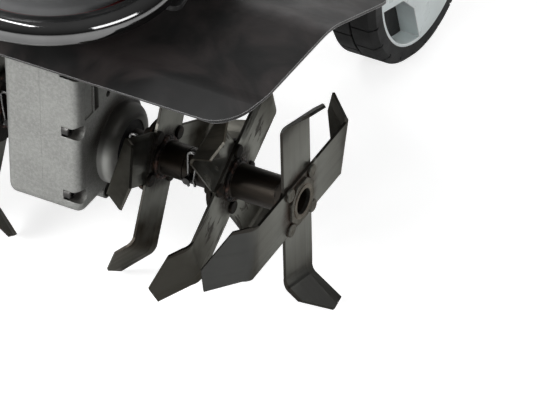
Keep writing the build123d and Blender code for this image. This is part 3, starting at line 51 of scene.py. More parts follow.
# The tine rotor, in metres: its shaft, and each row's place along the shaft with its turn in degrees
SHAFT_Y, SHAFT_Z = next(joint["pos_m"] for joint in frame["joints"] if joint["name"] == "tine_spin")[1:]
STARS = {"inner": (0.072, -65.0), "middle": (0.134, -34.2), "outer": (0.191, -2.6)}
STRIP_HALF, STRIP_THICKNESS, FLANGE_THICKNESS = 0.02125, 0.0022, 0.004
TUBE_RADIUS, TUBE_END = 0.014, 0.1962


# Tools for node-built materials

NOISE_LOW, NOISE_HIGH = 0.3, 0.7    # where a noise's usual values start and end
EDGE_COSINES = (0.985, 0.86)        # between true and rounded normal, where an edge starts and is full
HOLLOW_SHARES = (0.85, 0.35)        # share of open sky where a hollow starts and is full
BEVEL_SAMPLES, HOLLOW_SAMPLES = 4, 6
MIX_SOCKETS = {"RGBA": (6, 7, 2), "FLOAT": (2, 3, 0)}    # of a Mix node: first, second and result
WHITE = (1.0, 1.0, 1.0)
OLIVE = (1.0, 1.01, 0.91)


class Look:
    """A material under construction. Its patterns sit in the object's space, so they move with the piece."""

    def __init__(self, name, edge=0.0005):
        self.material = bpy.data.materials.new(name)
        self.material.use_nodes = True
        self.tree = self.material.node_tree
        self.shader = self.tree.nodes["Principled BSDF"]
        self.place = self.add("ShaderNodeTexCoord").outputs["Object"]
        self.normal = self.rounded(edge) if edge else None

    def add(self, kind, inputs=None, **settings):
        node = self.tree.nodes.new(kind)
        for key, value in settings.items():
            setattr(node, key, value)
        for key, value in (inputs or {}).items():
            self.feed(node.inputs[key], value)
        return node

    def feed(self, socket, value):
        if isinstance(value, bpy.types.NodeSocket):
            self.tree.links.new(value, socket)
        else:
            socket.default_value = value

    def set(self, **values):
        """Sets the shader's inputs, named with _ for each space."""
        for key, value in values.items():
            self.feed(self.shader.inputs[key.replace("_", " ")], value)

    # Numbers and colours

    def math(self, operation, a, b=0.0):
        return self.add("ShaderNodeMath", {0: a, 1: b}, operation=operation).outputs[0]

    def times(self, a, b):
        return self.math("MULTIPLY", a, b)

    def plus(self, a, b):
        return self.math("ADD", a, b)

    def larger(self, a, b):
        return self.math("MAXIMUM", a, b)

    def size(self, value):
        return self.math("ABSOLUTE", value)

    def length(self, a, b):
        return self.math("SQRT", self.plus(self.times(a, a), self.times(b, b)))

    def fade(self, value, low, high, at_low=0.0, at_high=1.0):
        """A soft step from at_low to at_high while the value goes from low to high."""
        limits = {"From Min": low, "From Max": high, "To Min": at_low, "To Max": at_high}
        node = self.add("ShaderNodeMapRange", {"Value": value, **limits}, interpolation_type="SMOOTHSTEP")
        return node.outputs["Result"]

    def spread(self, noise, at_low=0.0, at_high=1.0):
        return self.fade(noise, NOISE_LOW, NOISE_HIGH, at_low, at_high)

    def between(self, kind, share, a, b):
        node = self.add("ShaderNodeMix", data_type=kind)
        first, second, result = MIX_SOCKETS[kind]
        for index, value in ((0, share), (first, a), (second, b)):
            self.feed(node.inputs[index], value)
        return node.outputs[result]

    def mix(self, share, a, b):
        return self.between("RGBA", share, a, b)

    def pick(self, share, a, b):
        return self.between("FLOAT", share, a, b)

    # Places and patterns

    def joined(self, x, y, z=0.0):
        return self.add("ShaderNodeCombineXYZ", {"X": x, "Y": y, "Z": z}).outputs["Vector"]

    def apart(self, vector):
        return self.add("ShaderNodeSeparateXYZ", {"Vector": vector}).outputs

    def mapped(self, vector, **change):
        return self.add("ShaderNodeMapping", {"Vector": vector, **change}).outputs["Vector"]

    def off_shaft(self):
        """The spot seen from the tine shaft: X along it, Y and Z across it."""
        shaft = (0.0, SHAFT_Y, SHAFT_Z)
        node = self.add("ShaderNodeVectorMath", {0: self.place, 1: shaft}, operation="SUBTRACT")
        return node.outputs["Vector"]

    def noise(self, scale, detail=3.0, rough=0.55, place=None, warp=0.0):
        inputs = {"Vector": place or self.place, "Scale": scale, "Detail": detail, "Roughness": rough,
                  "Distortion": warp}
        return self.add("ShaderNodeTexNoise", inputs).outputs["Fac"]

    def cells(self, scale):
        return self.add("ShaderNodeTexVoronoi", {"Vector": self.place, "Scale": scale}).outputs["Distance"]

    def bands(self, scale, warp, direction):
        inputs = {"Vector": self.place, "Scale": scale, "Distortion": warp}
        return self.add("ShaderNodeTexWave", inputs, bands_direction=direction).outputs["Fac"]

    # Surface

    def rounded(self, radius):
        """The normal as if sharp edges were rounded to the radius."""
        return self.add("ShaderNodeBevel", {"Radius": radius}, samples=BEVEL_SAMPLES).outputs["Normal"]

    def edges(self, radius):
        """How near a sharp edge is: 0 on open faces, 1 on edges."""
        true = self.add("ShaderNodeNewGeometry").outputs["Normal"]
        dot = self.add("ShaderNodeVectorMath", {0: self.rounded(radius), 1: true}, operation="DOT_PRODUCT")
        return self.fade(dot.outputs["Value"], *EDGE_COSINES)

    def hollows(self, reach):
        """How closed in a spot is: 0 on open faces, 1 in tight corners."""
        node = self.add("ShaderNodeAmbientOcclusion", {"Distance": reach}, samples=HOLLOW_SAMPLES)
        return self.fade(node.outputs["AO"], *HOLLOW_SHARES)

    def bump(self, height, depth):
        inputs = {"Height": height, "Distance": depth, "Strength": 1.0}
        if self.normal:
            inputs["Normal"] = self.normal
        self.normal = self.add("ShaderNodeBump", inputs).outputs["Normal"]

    def done(self):
        if self.normal:
            self.feed(self.shader.inputs["Normal"], self.normal)
        return self.material


def grey(level, tint=WHITE):
    return (level * tint[0], level * tint[1], level * tint[2], 1.0)


def shade(colour, factor):
    return tuple(factor * part for part in colour[:3]) + (1.0,)


# Materials. Pattern scales are repeats per metre, and edges, reaches and bump depths are metres.

PAINT_CLOUD, PAINT_SCUFF, PAINT_GLOSS, PAINT_PEEL = 14.0, 90.0, 40.0, 420.0
PAINT_EDGE = 0.0009
FILM_SCALE, FILM_WARP, FILM_PLACE = 10.0, 1.5, (0.0, 0.0, 0.4)
# Reddish tint of the film: dust with a painted reflection of the red hood in it
FILM_DUST_AND_REFLECTION_TINT = (1.0, 0.84, 0.82)


def painted(name, colour, rough, peel=0.00006, metal=0.0, gloss=0.5, bare=0.35, bare_and_highlight_tone=0.16, film=0.0):
    """Baked paint: slight orange peel, cloudy gloss, bare steel and painted highlight on edges and, with film,
    dust and painted reflection.
    """
    look = Look(name)
    base = look.mix(look.fade(look.noise(PAINT_CLOUD, 4.0), 0.3, 0.75), colour, shade(colour, 1.35))
    # A reddish film on the paint: partly dust, partly a painted reflection of the red hood in its tint and
    # brightness
    if film:
        moved = look.mapped(look.place, Location=FILM_PLACE)
        dust_and_reflection = look.fade(look.noise(FILM_SCALE, 4.0, 0.55, moved, FILM_WARP), 0.38, 0.66)
        base = look.mix(dust_and_reflection, base, grey(film, FILM_DUST_AND_REFLECTION_TINT))
    # Edge line: bare steel, and where it is strong and pale, as on the guard, also a painted highlight
    scuffs = look.fade(look.noise(PAINT_SCUFF), 0.3, 0.62, bare * bare, bare)
    worn_and_highlight = look.times(look.edges(PAINT_EDGE), scuffs)
    look.set(Base_Color=look.mix(worn_and_highlight, base, grey(bare_and_highlight_tone)), Metallic=metal, Specular_IOR_Level=gloss,
             Roughness=look.spread(look.noise(PAINT_GLOSS, 5.0), rough * 0.85, rough * 1.2))
    look.bump(look.noise(PAINT_PEEL, 2.0), peel)
    return look.done()


CAST_SAND, CAST_MOTTLE, CAST_WAVE = 750.0, 330.0, 40.0
CAST_SAND_DEPTH, CAST_WAVE_DEPTH = 0.0003, 0.0004
CAST_EDGE, CAST_HOLLOW = 0.0012, 0.05
# Tints of painted shade: brown in hollows, and brown-black above the boss
CAST_SHADE_BROWN, CAST_SHADE_ABOVE = (1.0, 0.93, 0.82), (0.016, 0.013, 0.009, 1.0)
BOSS_OUT, BOSS_RADIUS = (0.0328, 0.034), (0.0345, 0.0325)
# Where the painted shade round the boss, above the shaft, starts and is full
SHADE_ABOVE_RADIUS, SHADE_ABOVE_HEIGHT, SHADE_ABOVE_WAVE = (0.052, 0.036), (0.008, 0.03), 0.012


def cast(name, level, tint, rough=0.46):
    """Die casting: sandy skin, painted brown shade in hollows and under nearby parts, brighter edges, turned
    bosses with painted shade above them.
    """
    look = Look(name, CAST_EDGE)
    sand = look.noise(CAST_SAND, 5.0, 0.7)
    mottle = look.noise(CAST_MOTTLE, 3.0, 0.6)
    waves = look.noise(CAST_WAVE, 3.0, 0.5)
    parts = look.apart(look.off_shaft())
    radius = look.length(parts["Y"], parts["Z"])
    boss = look.times(look.fade(look.size(parts["X"]), *BOSS_OUT), look.fade(radius, *BOSS_RADIUS))
    # Painted shade: a ring round the boss, darker above the shaft, where the guard shades it
    height = look.plus(parts["Z"], look.times(waves, SHADE_ABOVE_WAVE))
    shade_above = look.times(look.fade(radius, *SHADE_ABOVE_RADIUS), look.fade(height, *SHADE_ABOVE_HEIGHT))
    tone = look.mix(look.fade(waves, 0.3, 0.72), grey(level * 0.9, tint), grey(level * 1.06, tint))
    tone = look.mix(look.fade(sand, 0.4, 0.75, 0.0, 0.45), tone, grey(level * 0.6, tint))
    tone = look.mix(look.fade(mottle, 0.38, 0.66, 0.0, 0.5), tone, grey(level * 1.3, tint))
    tone = look.mix(look.times(look.edges(CAST_EDGE), 0.4), tone, grey(level * 1.4, tint))
    # Painted shade, brown, in hollows and under nearby parts
    tone = look.mix(look.times(look.hollows(CAST_HOLLOW), 0.85), tone, grey(level * 0.2, CAST_SHADE_BROWN))
    tone = look.mix(look.times(boss, 0.85), tone, grey(level * 1.8, tint))
    tone = look.mix(look.times(shade_above, 0.9), tone, CAST_SHADE_ABOVE)
    look.set(Base_Color=tone, Metallic=look.pick(boss, 0.4, 0.6),
             Roughness=look.pick(boss, look.fade(sand, 0.25, 0.75, rough * 0.85, rough * 1.25), 0.55))
    look.bump(waves, CAST_WAVE_DEPTH)
    look.bump(look.times(sand, look.fade(boss, 0.0, 1.0, 1.0, 0.2)), CAST_SAND_DEPTH)
    return look.done()


PLATE_MARK, PLATE_SPOT, PLATE_GLOSS = 700.0, 120.0, 260.0
PLATE_EDGE, PLATE_DEPTH = 0.0004, 0.00004


def plated(name, level, tint, rough):
    """Plated or turned steel with fine marks and dull spots."""
    look = Look(name, PLATE_EDGE)
    dull = look.fade(look.noise(PLATE_SPOT, 4.0), 0.45, 0.7)
    look.set(Base_Color=look.mix(dull, grey(level, tint), grey(level * 0.7, tint)), Metallic=1.0,
             Roughness=look.spread(look.noise(PLATE_GLOSS), rough * 0.8, rough * 1.25))
    look.bump(look.noise(PLATE_MARK), PLATE_DEPTH)
    return look.done()


MOULD_MOTTLE, MOULD_RUB, MOULD_GLOSS = 22.0, 70.0, 60.0
MOULD_EDGE = 0.0008


def moulded(name, colour, rough, grain=900.0, depth=0.00009, edge=0.0006, gloss=0.5, painted_highlight_edge=0.0):
    """Moulded plastic: spark-eroded grain, slight mottling, paler rubbed edges and, where asked, white edges
    that are a painted highlight.
    """
    look = Look(name, edge)
    mottle = look.fade(look.noise(MOULD_MOTTLE, 4.0), 0.3, 0.75)
    base = look.mix(mottle, shade(colour, 0.9), shade(colour, 1.12))
    # White edges: a painted highlight
    if painted_highlight_edge:
        base = look.mix(look.edges(painted_highlight_edge), base, grey(1.0))
    rubbed = look.times(look.edges(MOULD_EDGE), look.fade(look.noise(MOULD_RUB), 0.42, 0.64, 0.0, 0.3))
    pale = tuple(min(1.0, 1.6 * part + 0.02) for part in colour[:3]) + (1.0,)
    look.set(Base_Color=look.mix(rubbed, base, pale), Specular_IOR_Level=gloss,
             Roughness=look.spread(look.noise(MOULD_GLOSS, 4.0), rough * 0.88, rough * 1.15))
    look.bump(look.noise(grain, 2.0, 0.6), depth)
    return look.done()


# Tine strips: pattern scales along, across and through an arm
TINE_LINES, TINE_SMEAR = (9.0, 260.0, 40.0), (34.0, 130.0)
TINE_BLOTCH, TINE_SPECK, TINE_HEAT = 30.0, 420.0, 60.0
TINE_LINE_DEPTH, TINE_SPECK_DEPTH = 0.00002, 0.00003
TINE_EDGE, TINE_RIM, TINE_HOLLOW = 0.0003, 0.0007, 0.006
# Distances from the shaft where each change starts and is full, and how far blotches shift them
HEAT_AND_SHADE_FROM, HEAT_AND_SHADE_TO, TIP_SHADE_FROM, REFLECTION_STREAK_TO = (0.034, 0.06), (0.084, 0.07), (0.056, 0.08), (0.066, 0.05)
HUB_SCALE_TO, GRIND_FROM = (0.031, 0.019), (0.023, 0.029)
ARM_SHIFT, HUB_SHIFT = 0.022, 0.02
# Across an arm: the dark rim's depth below the edge, where grinding starts and how steep it is
RIM_FROM, RIM_FULL = 0.0009, 0.0003
GRIND_LINE, GRIND_SLOPE = 0.0112, -0.09
# The heat brown is dark enough to be painted shade as well as heat tint
HEAT_AND_SHADE_BROWN, RIM_BLACK = (0.014, 0.010, 0.0065, 1.0), (0.022, 0.019, 0.016, 1.0)
SCALE_BROWN, SCALE_BURN = (0.042, 0.029, 0.02), (0.03, 0.02, 0.013)
SHEEN_TINT, BURNT_TINT = (1.0, 1.0, 0.95), (1.0, 0.94, 0.86)


def tine_steel(name, star_x, turn, level, burnt, reflection_streaks, tip_shade_share, tip_shade_tone):
    """Rolled strip: ground leading edge, faint lines, brown at the hub, heat at the bends with painted shade,
    painted shade on the tips, painted reflection streaks.
    """
    look = Look(name, TINE_EDGE)
    parts = look.apart(look.mapped(look.off_shaft(), Rotation=(math.radians(turn), 0.0, 0.0)))
    wide, tall = look.size(parts["Y"]), look.size(parts["Z"])

    # Which of the two crossed strips the spot is on, and where it is along and across its arm
    clear = look.math("GREATER_THAN", look.larger(wide, tall), STRIP_HALF)
    upper = look.math("GREATER_THAN", look.size(parts["X"]), star_x)
    second = look.pick(clear, upper, look.math("GREATER_THAN", wide, tall))
    along = look.pick(second, tall, wide)
    lead_first = look.times(look.times(parts["Y"], look.math("SIGN", parts["Z"])), -1.0)
    lead_second = look.times(parts["Z"], look.math("SIGN", parts["Y"]))
    across = look.pick(second, lead_first, lead_second)

    rolled = [look.times(value, scale) for value, scale in zip((along, across, parts["X"]), TINE_LINES)]
    lines = look.noise(1.0, 3.0, 0.5, look.joined(*rolled))
    blotch = look.noise(TINE_BLOTCH, 5.0, 0.6)
    speck = look.noise(TINE_SPECK, 4.0, 0.65)
    uneven = look.math("SUBTRACT", blotch, 0.5)
    steel = look.mix(look.fade(blotch, 0.3, 0.72), grey(level * 0.85, OLIVE), grey(level * 1.12, OLIVE))
    steel = look.mix(look.fade(lines, 0.3, 0.75, 0.0, 0.05), steel, grey(level * 1.45, OLIVE))

    # Heat at the bends, partly painted shade, then painted shade on the tips
    out = look.plus(along, look.times(uneven, ARM_SHIFT))
    heat_and_shade = look.times(look.fade(out, *HEAT_AND_SHADE_FROM), look.fade(out, *HEAT_AND_SHADE_TO, 0.7 * burnt, 1.0))
    heat_and_shade = look.times(heat_and_shade, look.spread(look.noise(TINE_HEAT), 0.7 * burnt, burnt))
    steel = look.mix(heat_and_shade, steel, HEAT_AND_SHADE_BROWN)
    # Painted shade: the tips darker than the arms
    tip_shade = look.fade(out, *TIP_SHADE_FROM, 0.0, tip_shade_share)
    steel = look.mix(tip_shade, steel, tip_shade_tone)

    # Scale by the hub, and painted reflection streaks along the arm
    near = look.plus(look.length(wide, tall), look.times(uneven, HUB_SHIFT))
    scale = look.larger(look.fade(near, *HUB_SCALE_TO), look.hollows(TINE_HOLLOW))
    scale = look.times(scale, look.fade(speck, 0.25, 0.6, 0.55, 1.0))
    smear = [look.times(value, size) for value, size in zip((along, across), TINE_SMEAR)]
    # Painted reflection: dark brown streaks along the arm
    streaks = look.fade(look.noise(1.0, 4.0, 0.6, look.joined(*smear), 0.6), 0.53, 0.6, 0.0, reflection_streaks)
    scale = look.larger(scale, look.times(streaks, look.fade(along, *REFLECTION_STREAK_TO)))
    brown = tuple(part - burn * burnt for part, burn in zip(SCALE_BROWN, SCALE_BURN)) + (1.0,)
    steel = look.mix(scale, steel, brown)

    rim = look.fade(look.size(across), STRIP_HALF - RIM_FROM, STRIP_HALF - RIM_FULL)
    rim = look.larger(rim, look.edges(TINE_RIM))
    steel = look.mix(look.times(rim, 0.8), steel, RIM_BLACK)
    dull = look.larger(heat_and_shade, look.larger(scale, tip_shade))
    look.set(Base_Color=steel, Metallic=look.fade(scale, 0.0, 1.0, 0.92, 0.3),
             Specular_Tint=look.mix(dull, grey(1.0, SHEEN_TINT), grey(0.45, BURNT_TINT)),
             Roughness=look.fade(look.plus(lines, look.times(scale, 0.5)), 0.3, 1.1, 0.28, 0.56))
    ground = look.larger(look.math("SUBTRACT", across, GRIND_LINE), 0.0)
    look.bump(look.times(ground, look.fade(along, *GRIND_FROM, 0.0, GRIND_SLOPE)), 1.0)
    look.bump(lines, TINE_LINE_DEPTH)
    look.bump(speck, TINE_SPECK_DEPTH)
    return look.done()


HUB_PATCH, HUB_FINE, HUB_STREAK = 150.0, 620.0, (12.0, 120.0, 120.0)
HUB_PATCH_DEPTH, HUB_FINE_DEPTH = 0.0005, 0.00003
HUB_EDGE, HUB_HOLLOW = 0.0006, 0.0035
WELD_RADII, WELD_UNEVEN = (0.0157, 0.0172), 0.003
COLLAR_FROM, COLLAR_FULL, COLLAR_RADII = 0.0034, 0.0028, (0.0102, 0.0109)
TUBE_BLACK, TUBE_BROWN = grey(0.004, (1.0, 0.9, 0.8)), (0.017, 0.0125, 0.0085, 1.0)
BURNT_BLACK, BURNT_RUST = grey(0.008, (1.0, 0.93, 0.86)), (0.05, 0.026, 0.016, 1.0)
COLLAR_RUST = (0.06, 0.036, 0.024, 1.0)
HUB_SHEEN = (1.0, 0.86, 0.72, 1.0)


def hub_look(name):
    """Blackened tubes and flanges, a little rust by the welds, bare steel on the end collars."""
    look = Look(name, HUB_EDGE)
    parts = look.apart(look.off_shaft())
    out = look.size(parts["X"])
    radius = look.length(parts["Y"], parts["Z"])
    patches = look.noise(HUB_PATCH, 6.0, 0.65)
    fine = look.noise(HUB_FINE, 4.0, 0.6)
    streaks = look.noise(1.0, 4.0, 0.6, look.mapped(look.place, Scale=HUB_STREAK))
    tube = look.mix(look.fade(streaks, 0.35, 0.75), TUBE_BLACK, TUBE_BROWN)
    burnt = look.mix(look.fade(patches, 0.55, 0.7), BURNT_BLACK, BURNT_RUST)
    welded = look.fade(look.plus(radius, look.times(patches, WELD_UNEVEN)), *WELD_RADII)
    bare = look.mix(look.fade(patches, 0.35, 0.66), grey(0.05, OLIVE), grey(0.12, OLIVE))
    stain = look.larger(look.hollows(HUB_HOLLOW), look.fade(fine, 0.58, 0.7, 0.0, 0.7))
    bare = look.mix(stain, bare, COLLAR_RUST)
    end = look.times(look.fade(out, TUBE_END - COLLAR_FROM, TUBE_END - COLLAR_FULL),
                     look.fade(radius, *COLLAR_RADII))
    look.set(Base_Color=look.mix(end, look.mix(welded, tube, burnt), bare),
             Metallic=look.fade(end, 0.0, 1.0, 0.0, 0.8), Specular_IOR_Level=0.25, Specular_Tint=HUB_SHEEN,
             Roughness=look.fade(look.plus(look.times(fine, 0.4), welded), 0.1, 1.3, 0.4, 0.64))
    look.bump(look.times(patches, look.larger(welded, end)), HUB_PATCH_DEPTH)
    look.bump(fine, HUB_FINE_DEPTH)
    return look.done()


WELD_PATCH, WELD_FINE = 95.0, 600.0
WELD_PATCH_DEPTH, WELD_FINE_DEPTH = 0.0004, 0.00012
WELD_EDGE = 0.0006


def scaled(name, dark, rust, share):
    """Welded steel: dark scale with rust between."""
    look = Look(name, WELD_EDGE)
    patches = look.noise(WELD_PATCH, 6.0, 0.65)
    fine = look.noise(WELD_FINE, 4.0, 0.6)
    tone = look.mix(look.fade(patches, 0.62 - share, 0.78 - share * 0.5), dark, rust)
    look.set(Base_Color=look.mix(look.fade(fine, 0.58, 0.78, 0.0, 0.3), tone, grey(0.14)),
             Metallic=look.fade(patches, 0.4, 0.7, 0.75, 0.15), Roughness=look.spread(fine, 0.38, 0.7))
    look.bump(patches, WELD_PATCH_DEPTH)
    look.bump(fine, WELD_FINE_DEPTH)
    return look.done()


IRON_PLATES, IRON_DEPTH, IRON_TINT = 320.0, 0.0003, (1.0, 0.97, 0.94)


def laminated(name):
    """A stack of thin iron plates."""
    look = Look(name, 0.0)
    plates = look.bands(IRON_PLATES, 0.4, "Z")
    look.set(Base_Color=look.mix(plates, grey(0.10), grey(0.26, IRON_TINT)), Metallic=0.9, Roughness=0.5)
    look.bump(plates, IRON_DEPTH)
    return look.done()


WIRE_TURNS, WIRE_DEPTH = 260.0, 0.0004
WIRE_DARK, WIRE_BRIGHT = (0.22, 0.07, 0.03, 1.0), (0.72, 0.31, 0.14, 1.0)


def wound(name):
    """Enamelled copper wire."""
    look = Look(name, 0.0)
    turns = look.bands(WIRE_TURNS, 1.2, "DIAGONAL")
    look.set(Base_Color=look.mix(turns, WIRE_DARK, WIRE_BRIGHT), Metallic=0.85, Roughness=0.32)
    look.bump(turns, WIRE_DEPTH)
    return look.done()


FOAM_PORES, FOAM_LUMPS, FOAM_MOTTLE = 850.0, 160.0, 45.0
FOAM_EDGE, FOAM_DEPTH = 0.0008, 0.0003


def soft_grip(name):
    """Foam sleeve with pores."""
    look = Look(name, FOAM_EDGE)
    pores = look.cells(FOAM_PORES)
    look.set(Base_Color=look.mix(look.spread(look.noise(FOAM_MOTTLE, 4.0)), grey(0.016), grey(0.034)),
             Roughness=look.fade(pores, 0.1, 0.6, 0.95, 0.75))
    look.bump(pores, FOAM_DEPTH)
    look.bump(look.noise(FOAM_LUMPS, 4.0), FOAM_DEPTH)
    return look.done()


# The guard's strong pale edge line is bare steel and a painted highlight; its film is dust and a painted
# reflection
black_sheet = painted("black_sheet", grey(0.009), 0.42, peel=0.00004, gloss=0.27, bare=0.9, bare_and_highlight_tone=0.42,
                      film=0.036)
dark_chrome = painted("dark_chrome", grey(0.13), 0.08, peel=0.00001, metal=1.0, bare=0.0)
black_tube = painted("black_tube", grey(0.006), 0.2, peel=0.00002)
mount_black = painted("mount_black", grey(0.014), 0.32)
hub_black = hub_look("hub_black")
weld_scale = scaled("weld_scale", grey(0.012, (1.0, 0.94, 0.88)), (0.085, 0.034, 0.02, 1.0), 0.2)
cast_grey = cast("cast_grey", 0.29, (1.0, 1.01, 0.96))
screw_steel = plated("screw_steel", 0.42, WHITE, 0.34)
screw_dark = plated("screw_dark", 0.07, (1.0, 0.98, 0.95), 0.42)
clip_steel = plated("clip_steel", 0.26, (1.0, 1.0, 0.98), 0.3)
bright_steel = plated("bright_steel", 0.62, (1.0, 0.99, 0.97), 0.24)
shaft_steel = plated("shaft_steel", 0.38, WHITE, 0.3)
bronze = plated("bronze", 0.62, (1.0, 0.70, 0.34), 0.3)
hood_grey = moulded("hood_grey", grey(0.15, (1.0, 1.02, 1.03)), 0.34)
hood_red = moulded("hood_red", (0.16, 0.012, 0.014, 1.0), 0.3)
tyre_black = moulded("tyre_black", grey(0.012), 0.6, grain=500.0, depth=0.00016, edge=0.001, gloss=0.25)
# The rim's white edge line is a painted highlight
rim_grey = moulded("rim_grey", (0.79, 0.86, 0.86, 1.0), 0.3, grain=1100.0, depth=0.00003, edge=0.0012,
                   painted_highlight_edge=0.0018)
box_black = moulded("box_black", grey(0.022), 0.5, grain=650.0, depth=0.00018)
knob_black = moulded("knob_black", grey(0.018), 0.45, grain=700.0, depth=0.00014)
fan_grey = moulded("fan_grey", grey(0.08), 0.45)
button_red = moulded("button_red", (0.42, 0.012, 0.012, 1.0), 0.28)
carbon = moulded("carbon", grey(0.018), 0.6)
seal_rubber = moulded("seal_rubber", grey(0.02), 0.6, grain=400.0)
grip_foam = soft_grip("grip_foam")
iron = laminated("iron")
copper = wound("copper")

# Each row of tines: brightness, a painted light and shade for the row; darkness of the heat marks, partly
# painted shade; share of painted reflection streaks; strength and colour of the painted shade on the tips
TINE_LEVELS = {
    "inner": (0.17, 0.9, 0.0, 0.5, (0.036, 0.033, 0.027, 1.0)),
    "middle": (0.26, 0.6, 0.8, 0.85, (0.026, 0.0235, 0.019, 1.0)),
    "outer": (0.12, 0.25, 0.0, 0.8, (0.028, 0.0285, 0.029, 1.0)),
}

LOOKS = {
    black_sheet: ["tine_guard", "side_plate_right", "side_plate_left", "wheel_carriage"],
    dark_chrome: ["bumper_tube"],
    black_tube: ["lower_handle_tubes", "handle_cross_bar", "upper_handle"],
    mount_black: ["motor_mount"],
    hub_black: ["inner_tine_hubs", "outer_tine_hubs", "tine_rivets"],
    cast_grey: ["gearbox_case_right", "gearbox_case_left", "motor_end_plate"],
    screw_dark: ["cap_screws", "clevis_pins"],
    screw_steel: ["frame_bolts", "carriage_bolts", "fold_bolts", "hood_screws", "switch_box_screws",
                  "motor_can"],
    clip_steel: ["hairpin_clips"],
    bright_steel: ["wheel_axle", "axle_caps", "bail_lever", "ball_bearings"],
    shaft_steel: ["output_shaft", "worm_shaft"],
    bronze: ["worm_wheel"],
    hood_grey: ["hood_shell", "hood_cap"],
    hood_red: ["hood_skirt"],
    tyre_black: ["tyre_right", "tyre_left"],
    rim_grey: ["rim_right", "rim_left"],
    box_black: ["switch_box_top", "switch_box_bottom", "power_inlet"],
    knob_black: ["carriage_knob", "fold_knob_right", "fold_knob_left", "cord_hook"],
    fan_grey: ["cooling_fan", "switch_block"],
    button_red: ["lockout_button"],
    carbon: ["carbon_brushes"],
    seal_rubber: ["shaft_seals"],
    grip_foam: ["handle_grips"],
    iron: ["field_stator", "armature_core"],
    copper: ["armature_copper"],
}
for row, place in STARS.items():
    row_steel = tine_steel(f"{row}_tine_steel", *place, *TINE_LEVELS[row])
    LOOKS[row_steel] = [f"{row}_tines_right", f"{row}_tines_left"]

SMOOTH_ANGLE = math.radians(28)
for material, names in LOOKS.items():
    for name in names:
        piece = frame["nodes"][name]
        piece.data.materials.clear()
        piece.data.materials.append(material)
        piece.data.shade_smooth()
        piece.data.set_sharp_from_angle(angle=SMOOTH_ANGLE)


# Weld beads round the tine tubes, where their flanges and stars sit

BEAD_STEPS, BEAD_SIDES = 132, 8
BEAD_RADIUS, BEAD_LIFT, BEAD_OFF = 0.0021, 0.0018, 0.0016
BEAD_BASE, BEAD_RIPPLE, BEAD_SWELL = 0.86, 0.22, 0.08    # shares of the bead's radius
RIPPLE_TURNS, RIPPLE_POWER = 13, 0.6
SWAY, WIGGLE = 0.0004, 0.00025
MIRROR_TURN = 1.0


def weld_bead(verts, faces, x, turn):
    """Adds one ring of overlapping ripples, uneven in width, as a hand-laid weld has."""
    first = len(verts)
    for step in range(BEAD_STEPS):
        angle = 2 * math.pi * step / BEAD_STEPS
        ripple = abs(math.sin(angle * RIPPLE_TURNS + turn)) ** RIPPLE_POWER
        swell = math.sin(3 * angle + 2.0 * turn)
        bead = BEAD_RADIUS * (BEAD_BASE + BEAD_RIPPLE * ripple + BEAD_SWELL * swell)
        middle_x = x + SWAY * math.sin(2 * angle + turn) + WIGGLE * math.sin(7 * angle)
        for side in range(BEAD_SIDES):
            round_angle = 2 * math.pi * side / BEAD_SIDES
            radius = TUBE_RADIUS + BEAD_LIFT + bead * math.cos(round_angle)
            verts.append((middle_x + bead * math.sin(round_angle), SHAFT_Y + radius * math.cos(angle),
                          SHAFT_Z + radius * math.sin(angle)))
    for step in range(BEAD_STEPS):
        here, there = first + step * BEAD_SIDES, first + (step + 1) % BEAD_STEPS * BEAD_SIDES
        for side in range(BEAD_SIDES):
            after = (side + 1) % BEAD_SIDES
            faces.append((here + side, here + after, there + after, there + side))


bead_verts, bead_faces = [], []
for row, (star_x, turn) in STARS.items():
    places = [star_x - STRIP_THICKNESS - FLANGE_THICKNESS - BEAD_OFF]
    if row != "outer":
        places.append(star_x + STRIP_THICKNESS + BEAD_OFF)
    for place in places:
        weld_bead(bead_verts, bead_faces, place, turn)
        weld_bead(bead_verts, bead_faces, -place, turn + MIRROR_TURN)
weld_mesh = bpy.data.meshes.new("tine_welds")
weld_mesh.from_pydata(bead_verts, [], bead_faces)
weld_mesh.shade_smooth()
weld_mesh.materials.append(weld_scale)
welds = bpy.data.objects.new("tine_welds", weld_mesh)
bpy.context.scene.collection.objects.link(welds)
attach(welds, "tine_rotor")


# Camera: the anchor, the middle of the right tube's end, falls on its pixel of the photograph's frame

FRAME_WIDTH, FRAME_HEIGHT = 537, 410
AZIMUTH, ELEVATION = math.radians(28.5), math.radians(37.0)
DISTANCE = 3.4
LENS, SENSOR, CLIP_START = 300.0, 36.0, 0.1
ANCHOR = Vector((0.1935, SHAFT_Y, SHAFT_Z))
ANCHOR_PIXEL = (300.6, 200.3)

outward = Vector((math.sin(AZIMUTH) * math.cos(ELEVATION), -math.cos(AZIMUTH) * math.cos(ELEVATION),
                  math.sin(ELEVATION)))
rightward = Vector((math.cos(AZIMUTH), math.sin(AZIMUTH), 0.0))
upward = outward.cross(rightward)
pixels = LENS / SENSOR * FRAME_WIDTH / DISTANCE
camera = bpy.data.objects.new("camera", bpy.data.cameras.new("camera"))
camera.data.lens = LENS
camera.data.sensor_width = SENSOR
camera.data.clip_start = CLIP_START
camera.location = (ANCHOR + outward * DISTANCE - rightward * ((ANCHOR_PIXEL[0] - FRAME_WIDTH / 2) / pixels)
                   + upward * ((ANCHOR_PIXEL[1] - FRAME_HEIGHT / 2) / pixels))
camera.rotation_mode = "QUATERNION"
camera.rotation_quaternion = (-outward).to_track_quat("-Z", "Y")
bpy.context.scene.collection.objects.link(camera)
bpy.context.scene.camera = camera


# Floor, lamps and world

FLOOR_LEVEL, FLOOR_GLOW, FLOOR_ROUGH = 0.62, 0.74, 0.9
SHADE_REACH, SHADE_POWER, SHADE_SAMPLES = 0.6, 3.0, 4
FLOOR_REACH, FLOOR_DROP = 60.0, 0.0005


